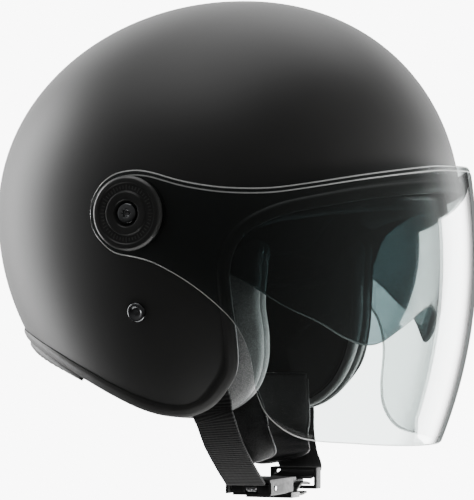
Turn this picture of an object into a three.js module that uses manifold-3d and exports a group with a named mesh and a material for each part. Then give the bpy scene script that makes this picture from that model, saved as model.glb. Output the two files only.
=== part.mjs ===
// Open face (jet) motorcycle helmet: fibre shell, impact liner, comfort pads, clear visor on side
// pivots, drop-down sun visor with its slider, and a chin strap with a ratchet buckle.
// Millimetres. The origin is the centre of the head cavity on the dome's equator.
// -Y is forward, +Z is up, +X is the wearer's left.
import * as THREE from 'three';
import { mergeVertices } from 'three/addons/utils/BufferGeometryUtils.js';
import Module from 'manifold-3d';

const wasm = await Module();
wasm.setup();

// ---------- driving dimensions ----------
const SHELL_HALF_WIDTH = 121;
const SHELL_FRONT = 137.5;
const SHELL_REAR = 142;
const DOME_HEIGHT = 127.6;
const PLAN_POWER = 2.1;             // superellipse power of every level section
const DOME_POWER = 2.06;            // power of the dome's height profile
const CROWN_SHIFT = 7;              // the crown's centre lies this far forward
const SKIRT_SIDE = 190;             // how fast the sides and ends tuck in below the equator
const SKIRT_ENDS = 140;
const SHELL_THICKNESS = 4;
const LINER_OUTSIDE = 5.5;          // depths below the shell's outer surface
const LINER_INSIDE = 34;
const COMFORT_OUTSIDE = 36;
const COMFORT_INSIDE = 42;
const GAP = 0.35;

const PIVOT_FORWARD = -10;          // visor pivots, level with the equator
const PIVOT_CAP_RADIUS = 21.5;
const VISOR_HALF_WIDTH = 126;
const VISOR_THICKNESS = 2.2;
const VISOR_HOLE = 9.3;
const VISOR_END_RADIUS = 25;

const LENS_PIVOT = { forward: 10, up: -20 };
const LENS_RADIUS = 122;
const LENS_HALF_WIDTH = 110;
const LENS_THICKNESS = 2;

const RIVET = { forward: -10, up: -56.5 };
const WEBBING_WIDTH = 25;
const WEBBING_THICKNESS = 2;
const BUCKLE = { left: -8, right: -48, forward: 30, top: -155, width: 29, depth: 10 };

const POLE = new THREE.Vector3(0, 0.82, 0.57).normalize();

// ---------- colours ----------
const paint = (color, roughness, metalness = 0, opacity = 1) => ({ color, roughness, metalness, opacity });
const MATT_BLACK = paint(0x1c1c1b, 0.55);
const BLACK_RUBBER = paint(0x171716, 0.6);
const BLACK_PLASTIC = paint(0x1a1b1a, 0.4);
const FOAM = paint(0x2b2b2c, 0.95);
const LINING = paint(0x202224, 0.95);
const LEATHERETTE = paint(0x2a2a2a, 0.5);
const CLEAR = paint(0xdfe9e9, 0.05, 0, 0.25);
const SMOKE = paint(0x4a6266, 0.08, 0, 0.6);
const DARK_CHROME = paint(0x55585c, 0.25, 0.9);
const STEEL = paint(0x8a8d90, 0.35, 0.9);
const WEBBING = paint(0x1a1a1a, 0.85);

// ---------- model tree and mesh helpers ----------
const helmet = new THREE.Group();

function add(name, geometry, finish, place = new THREE.Matrix4()) {
  const material = new THREE.MeshStandardMaterial({
    color: finish.color,
    roughness: finish.roughness,
    metalness: finish.metalness,
    transparent: finish.opacity < 1,
    opacity: finish.opacity,
  });
  const mesh = new THREE.Mesh(geometry, material);
  mesh.name = name;
  mesh.applyMatrix4(place);
  helmet.add(mesh);
}

// A point from how far forward it is, sideways (+ is the wearer's left) and up.
const at = (side, forward, up) => new THREE.Vector3(side, -forward, up);

function geometryOf(points, faces) {
  const geometry = new THREE.BufferGeometry();
  const numbers = points.flatMap((p) => [p.x, p.y, p.z]);
  geometry.setAttribute('position', new THREE.Float32BufferAttribute(numbers, 3));
  geometry.setIndex(faces.flat());
  return geometry;
}

// Joins rings of equal point counts into one closed solid. Open ends are closed with a fan.
function loft(rings, { loop = false, first = null, last = null } = {}) {
  const n = rings[0].length;
  const points = rings.flat();
  const faces = [];
  const steps = loop ? rings.length : rings.length - 1;
  for (let i = 0; i < steps; i++) {
    const a = i * n;
    const b = ((i + 1) % rings.length) * n;
    for (let j = 0; j < n; j++) {
      const k = (j + 1) % n;
      faces.push([a + j, a + k, b + k], [a + j, b + k, b + j]);
    }
  }
  if (!loop) {
    points.push(first ?? middle(rings[0]), last ?? middle(rings.at(-1)));
    const top = (rings.length - 1) * n;
    for (let j = 0; j < n; j++) {
      const k = (j + 1) % n;
      faces.push([points.length - 2, k, j], [points.length - 1, top + j, top + k]);
    }
  }
  return outward(points, faces);
}

const middle = (ring) => ring.reduce((sum, p) => sum.add(p), new THREE.Vector3()).divideScalar(ring.length);

// Turns every face the other way when the solid's volume comes out negative.
function outward(points, faces) {
  let volume = 0;
  for (const [a, b, c] of faces) volume += points[a].dot(points[b].clone().cross(points[c]));
  if (volume < 0) faces.forEach((face) => face.reverse());
  return geometryOf(points, faces);
}

function solidOf(geometry, place = null) {
  let bare = geometry.clone();
  bare.deleteAttribute('normal');
  bare.deleteAttribute('uv');
  if (place) bare.applyMatrix4(place);
  bare = mergeVertices(bare, 1e-4);
  const vertProperties = new Float32Array(bare.attributes.position.array);
  const triVerts = new Uint32Array(bare.index.array);
  return new wasm.Manifold(new wasm.Mesh({ numProp: 3, vertProperties, triVerts }));
}

function geometryFrom(solid) {
  const mesh = solid.getMesh();
  const geometry = new THREE.BufferGeometry();
  geometry.setAttribute('position', new THREE.BufferAttribute(new Float32Array(mesh.vertProperties), 3));
  geometry.setIndex(new THREE.BufferAttribute(new Uint32Array(mesh.triVerts), 1));
  return geometry;
}

function cut(geometry, ...tools) {
  return geometryFrom(tools.reduce((rest, tool) => rest.subtract(tool), solidOf(geometry)));
}

// Turned pieces are drawn as [radius, height] pairs and stand on a side of the shell,
// their height growing outward.
const turned = (profile, segments = 22) =>
  new THREE.LatheGeometry(closedProfile(profile), segments);

function closedProfile(profile) {
  const points = profile.map(([r, h]) => new THREE.Vector2(r, h));
  const onAxis = profile[0][0] === 0 && profile.at(-1)[0] === 0;
  return onAxis ? points : [...points, points[0].clone()];
}

// side is -1 for the wearer's right and +1 for the left.
function sideways(side, out, forward, up) {
  return new THREE.Matrix4().makeRotationZ(-side * Math.PI / 2).setPosition(side * out, -forward, up);
}

const SIDES = [['right', -1], ['left', 1]];

function sideCylinder(side, radius, from, to, forward, up, segments = 24) {
  const bar = new THREE.CylinderGeometry(radius, radius, to - from, segments);
  return solidOf(bar, sideways(side, (from + to) / 2, forward, up));
}

// ---------- the dome's surface ----------
// How far forward the middle of the level section lies at a height.
const crownCentre = (up) => CROWN_SHIFT * (Math.max(up, 0) / DOME_HEIGHT) ** 2;

// Half width, half length and centre of the level section at a height, a depth below the surface.
function section(up, depth, forward) {
  const centre = crownCentre(up);
  const width = SHELL_HALF_WIDTH - depth;
  const length = (forward > centre ? SHELL_FRONT : SHELL_REAR) - depth;
  if (up > 0) {
    const rise = Math.min(up / (DOME_HEIGHT - depth), 1);
    const shrink = (1 - rise ** DOME_POWER) ** (1 / DOME_POWER);
    return [width * shrink, length * shrink, centre];
  }
  return [
    width * Math.sqrt(1 - (up / SKIRT_SIDE) ** 2),
    length * Math.sqrt(1 - (up / SKIRT_ENDS) ** 2),
    centre,
  ];
}

function outside(p, depth) {
  const forward = -p.y;
  const [width, length, centre] = section(p.z, depth, forward);
  if (width < 1e-6) return true;
  const reach = (Math.abs(p.x) / width) ** PLAN_POWER + (Math.abs(forward - centre) / length) ** PLAN_POWER;
  return reach > 1;
}

// The dome's point in a direction from the origin.
function dome(direction, depth) {
  const d = direction.clone().normalize();
  let low = 20;
  let high = 200;
  for (let i = 0; i < 34; i++) {
    const half = (low + high) / 2;
    if (outside(d.clone().multiplyScalar(half), depth)) high = half;
    else low = half;
  }
  return d.multiplyScalar(low);
}

// The dome's point beside a place in the side view.
function beside(side, forward, up, depth = 0) {
  const [width, length, centre] = section(up, depth, forward);
  const left = 1 - (Math.abs(forward - centre) / length) ** PLAN_POWER;
  return at(side * width * Math.max(left, 0) ** (1 / PLAN_POWER), forward, up);
}

function normalAt(p) {
  const base = dome(p, 0);
  const east = base.clone().cross(POLE.clone().cross(base).cross(base)).normalize();
  const north = base.clone().cross(east).normalize();
  const beyond = (step) => dome(base.clone().add(step), 0);
  const [a, b] = [east, north].map((step) => beyond(step).sub(beyond(step.clone().negate())));
  const normal = a.cross(b).normalize();
  return normal.dot(base) < 0 ? normal.negate() : normal;
}

// A closed loop on the dome from one half's [forward, up] points, nape first and forehead last.
function mirroredLoop(half, count) {
  const sidePoints = half.slice(1, -1).map(([forward, up]) => beside(1, forward, up));
  const ends = [half[0], half.at(-1)].map(([forward, up]) => onMidPlane(forward, up));
  const other = sidePoints.map((p) => p.clone().setX(-p.x)).reverse();
  const curve = new THREE.CatmullRomCurve3([ends[0], ...sidePoints, ends[1], ...other], true, 'centripetal');
  return curve.getSpacedPoints(count).slice(0, count).map((p) => dome(p, 0));
}

// The dome's point on the mid plane at a height, on the side that forward is on.
function onMidPlane(forward, up) {
  const [, length, centre] = section(up, 0, forward);
  return at(0, centre + Math.sign(forward) * length, up);
}

// Unit steps along the surface, square to the loop, towards the crown.
function inwardSteps(loop) {
  return loop.map((p, i) => {
    const next = loop[(i + 1) % loop.length];
    const before = loop[(i + loop.length - 1) % loop.length];
    const step = next.clone().sub(before).cross(normalAt(p)).normalize();
    return step.dot(POLE) < 0 ? step.negate() : step;
  });
}

// A loop's neighbour: moved along the surface by step (mm) and to a depth below it.
function shifted(loop, steps, step, depth) {
  return loop.map((p, i) => dome(p.clone().addScaledVector(steps[i], step), depth));
}

// A dome-shaped wall that ends at a loop of directions.
function domeWall(edge, outer, inner, rows) {
  const toward = (p, f) => {
    const d = p.clone().normalize();
    const angle = POLE.angleTo(d);
    const side = d.clone().addScaledVector(POLE, -d.dot(POLE)).normalize();
    return POLE.clone().multiplyScalar(Math.cos(angle * f)).addScaledVector(side, Math.sin(angle * f));
  };
  const row = (f, depth) => edge.map((p) => dome(toward(p, f), depth));
  const steps = Array.from({ length: rows - 1 }, (_, k) => (k + 1) / rows).concat(0.95, 1);
  const rings = steps.map((f) => row(f, outer)).concat(steps.reverse().map((f) => row(f, inner)));
  return loft(rings, { first: dome(POLE, outer), last: dome(POLE, inner) });
}

// ---------- the opening ----------
// One half of the face opening's and neck's outline, as [forward, up]: nape, cheek, temple, forehead.
const OPENING = [
  [-SHELL_REAR, -72], [-105, -75.5], [-80, -84.5], [-55, -95.5], [-34.5, -105], [-14, -113.3], [1, -116.6],
  [15, -116.4], [28.3, -110.5], [37.8, -101.1], [45.2, -89.5], [47.6, -71.6], [47, -50], [47, -31.7],
  [50.2, -20.4], [55.7, -12.4], [62.9, -7], [76, -1], [92, 3.1], [118, 8.8], [SHELL_FRONT, 12.4],
];
const LOOP_COUNT = 54;
const opening = mirroredLoop(OPENING, LOOP_COUNT);
const openingSteps = inwardSteps(opening);

const SHELL_EDGE = 2.2;             // the shell's edge sits this far inside the trim's outer edge
const TRIM_WIDTH = 7.6;

const pivotHoles = SIDES.map(([, side]) => sideCylinder(side, 3.2, 100, 130, PIVOT_FORWARD, 0, 16));

// Local frame standing on the shell: its height axis is the outward normal.
function standOnShell(side, forward, up) {
  const p = beside(side, forward, up);
  const normal = normalAt(p);
  const along = new THREE.Vector3(0, -1, 0).addScaledVector(normal, normal.y).normalize();
  const across = normal.clone().cross(along);
  return new THREE.Matrix4().makeBasis(across, normal, along).setPosition(p);
}

const rivetHoles = SIDES.map(([, side]) =>
  solidOf(new THREE.CylinderGeometry(2.6, 2.6, 30, 16), standOnShell(side, RIVET.forward, RIVET.up)));

function makeShell() {
  const edge = shifted(opening, openingSteps, SHELL_EDGE, 0);
  const wall = domeWall(edge, 0, SHELL_THICKNESS, 9);
  add('outer_shell', cut(wall, ...pivotHoles, ...rivetHoles), MATT_BLACK);
}

// A section across the opening's edge at one of its points, from [step, depth] pairs.
function acrossEdge(k, profile) {
  const moved = (step) => opening[k].clone().addScaledVector(openingSteps[k], step);
  return profile.map(([step, depth]) => dome(moved(step), depth));
}

// Soft U-section that grips the shell's edge all round. Each entry is [step, depth].
function makeTrim() {
  const profile = [
    [0, -0.6], [2.2, -1.8], [TRIM_WIDTH - 1.5, -1.6], [TRIM_WIDTH, -0.7],
    [SHELL_EDGE - 1, -0.6], [SHELL_EDGE - 1, SHELL_THICKNESS + 1.5], [5.5, SHELL_THICKNESS + 1.5],
    [5.5, 6.6], [0.6, 6.8],
  ];
  const rings = opening.map((p, i) => acrossEdge(i, profile));
  add('edge_trim', loft(rings, { loop: true }), BLACK_RUBBER);
}

// Moulded lip under the nape, widest at the middle, running out along the edge on both sides.
function makeRearLip() {
  const reach = 7;
  const rings = [];
  for (let i = -reach; i <= reach; i++) {
    const k = (i + opening.length) % opening.length;
    const swell = Math.cos((i / reach) * Math.PI / 2) ** 0.6;
    const low = -3 - 8 * swell;
    const profile = [
      [-GAP, -0.6], [-GAP, 6], [low + 2, 9], [low, 6], [low + 1, 0.5 - 1.5 * swell], [-2.4, -1.8 - swell],
    ];
    rings.push(acrossEdge(k, profile));
  }
  add('rear_lip', loft(rings), BLACK_RUBBER);
}

// ---------- sun visor shape (needed by the impact liner's pocket) ----------
function lensRadius(x, inset = 0) {
  const left = 1 - (Math.abs(x) / (LENS_HALF_WIDTH - inset)) ** PLAN_POWER;
  return (LENS_RADIUS - inset) * Math.max(left, 0) ** (1 / PLAN_POWER);
}

function lensPoint(x, degrees, radius) {
  const turn = THREE.MathUtils.degToRad(degrees);
  return at(x, LENS_PIVOT.forward + radius * Math.cos(turn), LENS_PIVOT.up + radius * Math.sin(turn));
}

// Lower edge as [side, degrees below level]: nose arch, lobe and side.
const LENS_EDGE = new THREE.SplineCurve([
  [0, -16.3], [12, -18], [20, -20.5], [30, -24.2], [40, -28.7], [50, -30.7], [64, -30.7], [79, -28.9],
  [94, -28], [101, -25.6], [110, -22],
].map(([x, degrees]) => new THREE.Vector2(x, degrees)));

function lensLow(x) {
  let low = 0;
  let high = 1;
  for (let i = 0; i < 30; i++) {
    const half = (low + high) / 2;
    if (LENS_EDGE.getPoint(half).x < Math.abs(x)) low = half;
    else high = half;
  }
  return LENS_EDGE.getPoint(low).y;
}

const lensHigh = (x) => 26 - 12 * (Math.abs(x) / LENS_HALF_WIDTH) ** 2;

// The space the sun visor sweeps: from just under it out to the shell.
function lensPocket() {
  const rings = [];
  for (let i = -9; i <= 9; i++) {
    const x = 112 * Math.sin((i / 9) * Math.PI / 2);
    const inner = Math.max(lensRadius(x, 4.5), 5);
    const ring = [];
    for (let k = 0; k <= 10; k++) ring.push(lensPoint(x, -62 + 15.2 * k, inner));
    for (let k = 10; k >= 0; k--) ring.push(lensPoint(x, -62 + 15.2 * k, 190));
    rings.push(ring);
  }
  return solidOf(stripLoft(rings));
}

// Closes a loft of strip-shaped rings (there and back along a curve) with strips, not fans.
function stripLoft(rings) {
  const n = rings[0].length;
  const half = n / 2;
  const points = rings.flat();
  const faces = [];
  for (let i = 0; i + 1 < rings.length; i++) {
    const a = i * n;
    const b = a + n;
    for (let j = 0; j < n; j++) {
      const k = (j + 1) % n;
      faces.push([a + j, a + k, b + k], [a + j, b + k, b + j]);
    }
  }
  for (const [start, flip] of [[0, false], [(rings.length - 1) * n, true]]) {
    for (let j = 0; j + 1 < half; j++) {
      const quad = [start + j, start + j + 1, start + n - 2 - j, start + n - 1 - j];
      if (flip) faces.push([quad[0], quad[1], quad[2]], [quad[0], quad[2], quad[3]]);
      else faces.push([quad[0], quad[2], quad[1]], [quad[0], quad[3], quad[2]]);
    }
  }
  return outward(points, faces);
}

// ---------- inside ----------
const LINER_EDGE = [
  [-SHELL_REAR, -60], [-100, -58], [-70, -50], [-40, -38], [0, -35], [22, -34.5], [31, -27], [37, -14],
  [46, -2], [58, 6], [74, 13], [96, 17], [118, 19], [SHELL_FRONT, 22],
];

function makeImpactLiner() {
  const wall = domeWall(mirroredLoop(LINER_EDGE, 40), LINER_OUTSIDE, LINER_INSIDE, 7);
  const pockets = [lensPocket()];
  for (const [, side] of SIDES) {
    pockets.push(sideCylinder(side, 11, 106, 125, PIVOT_FORWARD, 0, 20));
    pockets.push(sideCylinder(side, 18.5, 102.6, 125, LENS_PIVOT.forward, LENS_PIVOT.up, 20));
  }
  const channel = new THREE.BoxGeometry(16, 8, 34);
  pockets.push(solidOf(channel, new THREE.Matrix4().makeTranslation(112, -CABLE_FORWARD, -30)));
  add('impact_liner', cut(wall, ...pockets), FOAM);
}

const COMFORT_EDGE = [
  [-SHELL_REAR, -52], [-70, -48], [-40, -38], [-20, -35], [10, -34], [24, -31], [36, -16], [50, -2],
  [75, 13], [100, 20], [SHELL_FRONT, 25],
];

function makeComfortLiner() {
  add('comfort_liner', domeWall(mirroredLoop(COMFORT_EDGE, 30), COMFORT_OUTSIDE, COMFORT_INSIDE, 6), LINING);
}

// A padded strip that follows part of the opening. profile(t) gives [step, depth] pairs, t from -1 to 1.
function edgePad(centre, reach, profile) {
  const rings = [];
  for (let i = -reach; i <= reach; i++) {
    const k = (centre + i + opening.length) % opening.length;
    rings.push(acrossEdge(k, profile(i / reach)));
  }
  return loft(rings);
}

function makeForeheadBand() {
  const band = edgePad(LOOP_COUNT / 2, 8, (t) => {
    const low = -9 + 5 * t * t;
    return [[6, 15.5], [0, 14], [low + 2, 14.5], [low, 18], [low, 23], [low + 3, 27], [6, 29]];
  });
  add('forehead_band', band, LEATHERETTE);
}

function makeNeckRoll() {
  const roll = edgePad(0, 6, (t) => {
    const low = 3 - 6 * (1 - t * t);
    return [[9, 8], [2, 7.5], [low, 12], [low - 1, 20], [low + 1, 28], [9, 31]];
  });
  add('neck_roll', roll, LEATHERETTE);
}

// Outline of a cheek pad in the side view, [forward, up], going round from the top rear.
const CHEEK_PAD = [
  [-44, -52], [-30, -41], [0, -39], [22, -38.5], [33, -35], [41, -27], [46, -18], [51, -14.5],
  [55.5, -18], [55, -32], [54, -50], [54.5, -70], [51.5, -88], [43, -104], [28, -115], [8, -118.5],
  [-14, -115], [-36, -104], [-46, -88], [-47, -68],
];

function makeCheekPads() {
  const corners = CHEEK_PAD.map(([forward, up]) => new THREE.Vector3(forward, up, 0));
  const curve = new THREE.CatmullRomCurve3(corners, true, 'centripetal');
  const outline = curve.getSpacedPoints(32).slice(0, 32);
  const centre = new THREE.Vector3(3, -78, 0);
  // [share of the outline, depth at the rim's level] from the shell's side round to the head's side
  const rows = [[0.6, 13], [0.93, 13.3], [1, 17], [1, 27], [0.93, 34], [0.6, 38]];
  for (const [name, side] of SIDES) {
    const rings = rows.map(([share, depth]) => outline.map((p) => {
      const q = centre.clone().lerp(p, share);
      return beside(side, q.x, q.y, depth + 0.15 * Math.max(q.y + 55, 0));
    }));
    const first = beside(side, centre.x, centre.y, 13);
    const last = beside(side, centre.x, centre.y, 39);
    add(`cheek_pad_${name}`, loft(rings, { first, last }), LEATHERETTE);
  }
}

// ---------- visor pivots ----------
// A finer dome just proud of the shell, for shaping what sits on it.
function shellBlank() {
  const loop = mirroredLoop(OPENING, 2 * LOOP_COUNT);
  return solidOf(domeWall(shifted(loop, inwardSteps(loop), -6, 0), -0.6, 25, 18));
}

function makePivots() {
  const blank = shellBlank();
  const boss = VISOR_HOLE - 0.5;
  const base = turned([[2.9, 0], [20, 0], [20, 10.7], [boss, 10.7], [boss, 14.1], [2.9, 14.1]]);
  const washer = turned([[10.5, 0], [14.5, 0], [14.5, 0.7], [10.5, 0.7]]);
  const cover = turned([
    [2.9, 0], [PIVOT_CAP_RADIUS, 0], [PIVOT_CAP_RADIUS, 1.5], [20.2, 3.2], [17.8, 3.6], [17.2, 3.0],
    [12.8, 3.0], [12.2, 4.3], [7.8, 4.0], [6.6, 1.4], [2.9, 1.4],
  ], 28);
  const screw = turned([
    [0, -17], [2.5, -17], [2.5, 1.7], [6.1, 1.7], [6.1, 2.8], [5.4, 3.4], [3, 3.4], [2.6, 2.3], [0, 2.3],
  ], 18);
  const nut = turned([[2.8, 0], [5.2, 0], [5.2, 3.6], [8.2, 3.6], [8.2, 5.2], [2.8, 5.2]], 18);
  for (const [name, side] of SIDES) {
    const place = (out) => sideways(side, out, PIVOT_FORWARD, 0);
    add(`pivot_base_${name}`, geometryFrom(solidOf(base, place(112.2)).subtract(blank)), BLACK_PLASTIC);
    add(`wave_washer_${name}`, washer, STEEL, place(126.4));
    add(`pivot_cover_${name}`, cover, BLACK_PLASTIC, place(127.5));
    add(`pivot_screw_${name}`, screw, DARK_CHROME, place(127.5));
    add(`pivot_nut_${name}`, nut, STEEL, place(110.2));
  }
}

// ---------- clear visor ----------
// Front profile is an arc through a point near the top edge and one near the bottom edge.
const VISOR_TOP = { forward: 142.6, up: 30 };
const VISOR_BOTTOM = { forward: 127.5, up: -134.5 };
const VISOR_BULGE = 11.5;
const VISOR_SKIRT = 204;

function visorFront(up) {
  const chord = Math.hypot(VISOR_TOP.forward - VISOR_BOTTOM.forward, VISOR_TOP.up - VISOR_BOTTOM.up);
  const radius = chord ** 2 / (8 * VISOR_BULGE) + VISOR_BULGE / 2;
  const slant = Math.atan2(VISOR_TOP.forward - VISOR_BOTTOM.forward, VISOR_TOP.up - VISOR_BOTTOM.up);
  const back = radius - VISOR_BULGE;
  const forward = (VISOR_TOP.forward + VISOR_BOTTOM.forward) / 2 - back * Math.cos(slant);
  const centreUp = (VISOR_TOP.up + VISOR_BOTTOM.up) / 2 + back * Math.sin(slant);
  return forward + Math.sqrt(radius ** 2 - (up - centreUp) ** 2);
}

function visorPoint(side, forward, up) {
  const width = VISOR_HALF_WIDTH * Math.sqrt(1 - (Math.min(up, 0) / VISOR_SKIRT) ** 2);
  const share = Math.min(Math.max(forward, 0) / visorFront(up), 1);
  return at(side * width * (1 - share ** PLAN_POWER) ** (1 / PLAN_POWER), forward, up);
}

// Edges in the side view from the rear end round the pivot to the front, as [forward, up].
const VISOR_REAR = PIVOT_FORWARD - VISOR_END_RADIUS + 1.5;
const VISOR_TOP_EDGE = [
  [VISOR_REAR, 7], [-28.5, 16], [-21, 22.3], [-10, 24.8], [0, 24.3], [21, 18.9], [36, 16.2],
  [50, 14.8], [71, 14.8], [90, 17.4], [117, 22.8], [132, 26],
];
const VISOR_LOW_EDGE = [
  [VISOR_REAR, -7], [-28.5, -16], [-20, -22.6], [-8, -25.2], [2.4, -27.8], [22, -37.8],
  [39.8, -51.6], [50.7, -64.4], [57.2, -83.2], [58.1, -104.2], [62.3, -116.7], [75.2, -128.2],
  [104.6, -132.8], [122, -134.4],
];
const VISOR_COLUMNS = 12;
const VISOR_ROWS = 5;

function visorEdge(points) {
  const corners = points.map(([forward, up]) => new THREE.Vector3(forward, up, 0));
  return new THREE.CatmullRomCurve3(corners, false, 'centripetal').getSpacedPoints(VISOR_COLUMNS - 1);
}

function makeVisor() {
  const top = visorEdge(VISOR_TOP_EDGE);
  const low = visorEdge(VISOR_LOW_EDGE);
  const column = (side, t, b) => {
    const row = (k) => b.clone().lerp(t, k / VISOR_ROWS);
    const ring = [];
    for (let k = 0; k <= VISOR_ROWS; k++) ring.push(onVisor(side, row(k), 0));
    for (let k = VISOR_ROWS; k >= 0; k--) ring.push(onVisor(side, row(k), VISOR_THICKNESS));
    return ring;
  };
  const halves = (side) => top.map((t, i) => column(side, t, low[i]));
  const ends = (up) => new THREE.Vector3(visorFront(up), up, 0);
  const near = (up, share) => new THREE.Vector3(visorFront(up) * (1 - share), up, 0);
  const front = [
    column(-1, near(28.2, 0.018), near(-135, 0.018)),
    column(0, ends(29), ends(-135.4)),
    column(1, near(28.2, 0.018), near(-135, 0.018)),
  ];
  const shape = stripLoft([...halves(-1), ...front, ...halves(1).reverse()]);
  const holes = SIDES.map(([, side]) => sideCylinder(side, VISOR_HOLE, 118, 130, PIVOT_FORWARD, 0, 28));
  add('visor', cut(shape, ...holes), CLEAR);
}

function onVisor(side, p, depth) {
  if (side === 0) return at(0, visorFront(p.y) - depth, p.y);
  const q = visorPoint(side, p.x, p.y);
  if (depth === 0) return q;
  const span = VISOR_HALF_WIDTH;
  const lean = Math.max(p.x, 0) / visorFront(p.y);
  const normal = new THREE.Vector3(
    side * Math.max(Math.abs(q.x) / span, 0) ** (PLAN_POWER - 1) / span,
    -(lean ** (PLAN_POWER - 1)) / visorFront(p.y), 0).normalize();
  return q.addScaledVector(normal, -depth);
}

// ---------- sun visor, its pins, cable and slider ----------
const CABLE_FORWARD = 6;

function makeSunVisor() {
  const rings = [];
  const columns = 10;
  for (let i = -columns; i <= columns; i++) {
    const x = 109.4 * Math.sin((i / columns) * Math.PI / 2);
    const low = lensLow(x);
    const high = lensHigh(x);
    const outer = lensRadius(x);
    const shrink = (LENS_HALF_WIDTH - LENS_THICKNESS) / LENS_HALF_WIDTH;
    const inner = lensRadius(x * shrink, LENS_THICKNESS);
    const ring = [];
    for (let k = 0; k <= 3; k++) ring.push(lensPoint(x, low + (high - low) * k / 3, outer));
    for (let k = 3; k >= 0; k--) ring.push(lensPoint(x * shrink, low + (high - low) * k / 3, inner));
    rings.push(ring);
  }
  let solid = solidOf(stripLoft(rings));
  for (const [, side] of SIDES) {
    solid = solid.add(sideCylinder(side, 16, 107.2, 109.4, LENS_PIVOT.forward, LENS_PIVOT.up));
  }
  for (const [, side] of SIDES) {
    solid = solid.subtract(sideCylinder(side, 3, 100, 120, LENS_PIVOT.forward, LENS_PIVOT.up, 16));
  }
  add('sun_visor', geometryFrom(solid), SMOKE);
}

function makeSunVisorPins() {
  const pin = turned([[0, 0], [2.6, 0], [2.6, 6.2], [8.5, 6.2], [8.5, 8.2], [0, 8.2]], 18);
  for (const [name, side] of SIDES) {
    const place = sideways(side, 103.6, LENS_PIVOT.forward, LENS_PIVOT.up);
    add(`sun_visor_pin_${name}`, pin, BLACK_PLASTIC, place);
  }
}

// The slider lies along the left lower edge, behind the cheek.
const SLIDER = { forward: -12, up: -92, length: 46, height: 12, travel: 20 };

function makeSlider() {
  const place = standOnShell(1, SLIDER.forward, SLIDER.up);
  const box = (across, out, along, y, z = 0) =>
    solidOf(new THREE.BoxGeometry(across, out, along).translate(0, y, z), place);
  const plate = box(SLIDER.height, 9, SLIDER.length, -1.5).subtract(shellBlank());
  const slot = box(4, 4, SLIDER.travel + 10, 2.5);
  add('slider_track', geometryFrom(plate.subtract(slot)), BLACK_PLASTIC);
  const start = SLIDER.travel / 2;
  const knob = box(9, 3, 13, 4.8, start).add(box(3.2, 3, 7, 2.6, start));
  const grooves = [-3, 0, 3].map((step) => box(10, 1, 1, 6.2, start + step));
  const ribbed = grooves.reduce((rest, groove) => rest.subtract(groove), knob);
  add('slider_knob', geometryFrom(ribbed), BLACK_PLASTIC);
}

// Push-pull cable from the slider up to the sun visor's left pin, between shell and liner.
function makeCable() {
  const route = [
    [-8, -86, 6.2], [-2, -74, 6.4], [4, -62, 6.6], [CABLE_FORWARD, -50, 6.7], [CABLE_FORWARD, -42, 7.2],
    [CABLE_FORWARD, -33, 7.8],
  ];
  const points = route.map(([forward, up, depth]) => beside(1, forward, up, depth));
  const curve = new THREE.CatmullRomCurve3(points);
  const outline = new THREE.Shape();
  outline.absarc(0, 0, 1.1, 0, Math.PI * 2);
  const tube = new THREE.ExtrudeGeometry(outline, { extrudePath: curve, steps: 18, curveSegments: 4 });
  add('sun_visor_cable', tube, BLACK_RUBBER);
}

// ---------- chin strap ----------
const LENGTHWISE = at(0, 1, 0);

// Flat webbing along a route of [side, forward, up] points. Its width turns from one direction to another.
function ribbon(route, width, thickness, count, start = LENGTHWISE, end = start) {
  const curve = new THREE.CatmullRomCurve3(route.map((p) => at(...p)), false, 'centripetal');
  const rings = [];
  for (let i = 0; i <= count; i++) {
    const wide = start.clone().lerp(end, i / count);
    const centre = curve.getPointAt(i / count);
    const along = curve.getTangentAt(i / count);
    const square = wide.clone().addScaledVector(along, -wide.dot(along));
    const across = square.normalize().multiplyScalar(width / 2);
    const out = along.clone().cross(across).normalize().multiplyScalar(thickness / 2);
    rings.push([[1, 1], [1, -1], [-1, -1], [-1, 1]].map(([a, b]) =>
      centre.clone().addScaledVector(across, a).addScaledVector(out, b)));
  }
  return loft(rings);
}

function makeStrapAnchors() {
  const rivet = turned([
    [0, -8], [2.3, -8], [2.3, GAP], [5.75, GAP], [5.75, 1.2], [5, 1.9], [3.6, 1.9], [2.6, 1.1], [0, 1.1],
  ], 20);
  for (const [name, side] of SIDES) {
    const stand = standOnShell(side, RIVET.forward, RIVET.up);
    add(`strap_rivet_${name}`, rivet, DARK_CHROME, stand);
    const plate = solidOf(new THREE.BoxGeometry(20, 1.5, 16), stand.clone().multiply(
      new THREE.Matrix4().makeTranslation(0, -6.3, 0)));
    add(`strap_anchor_${name}`, geometryFrom(plate.subtract(rivetHoles[side < 0 ? 0 : 1])), STEEL);
  }
}

const STRAP_EXIT = { up: -106, depth: 10.3 };
const STRAP_FORWARD = { right: 24, left: 3 };

// At the exit the webbing lies along the shell, which turns inward towards the front.
const hug = (side) => at(side < 0 ? 0.2 : -0.06, 1, 0);

function makeUpperStraps() {
  for (const [name, side] of SIDES) {
    const low = beside(side, STRAP_FORWARD[name], STRAP_EXIT.up, STRAP_EXIT.depth);
    const route = [[-6, -69.5], [2, -82], [STRAP_FORWARD[name] - 6, -97]].map(([forward, up]) => {
      const p = beside(side, forward, up, STRAP_EXIT.depth - 0.2);
      return [p.x, forward, up];
    });
    route.push([low.x, STRAP_FORWARD[name], low.z]);
    const strap = ribbon(route, WEBBING_WIDTH, WEBBING_THICKNESS, 6, LENGTHWISE, hug(side));
    add(`strap_top_${name}`, strap, WEBBING);
  }
}

const RIGHT_ROUTE = [
  [-87.8, 25.2, -114.8], [-86.6, 26.4, -119], [-78, 28, -133], [-64, 29.5, -147], [-50, 30, -157.5],
];
const LEFT_ROUTE = [
  [90, 3.3, -115], [88.8, 4.2, -119.5], [78, 8.5, -134], [59, 18, -145.5], [37, 29.4, -153.4],
  [22, 30, -157],
];

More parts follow.
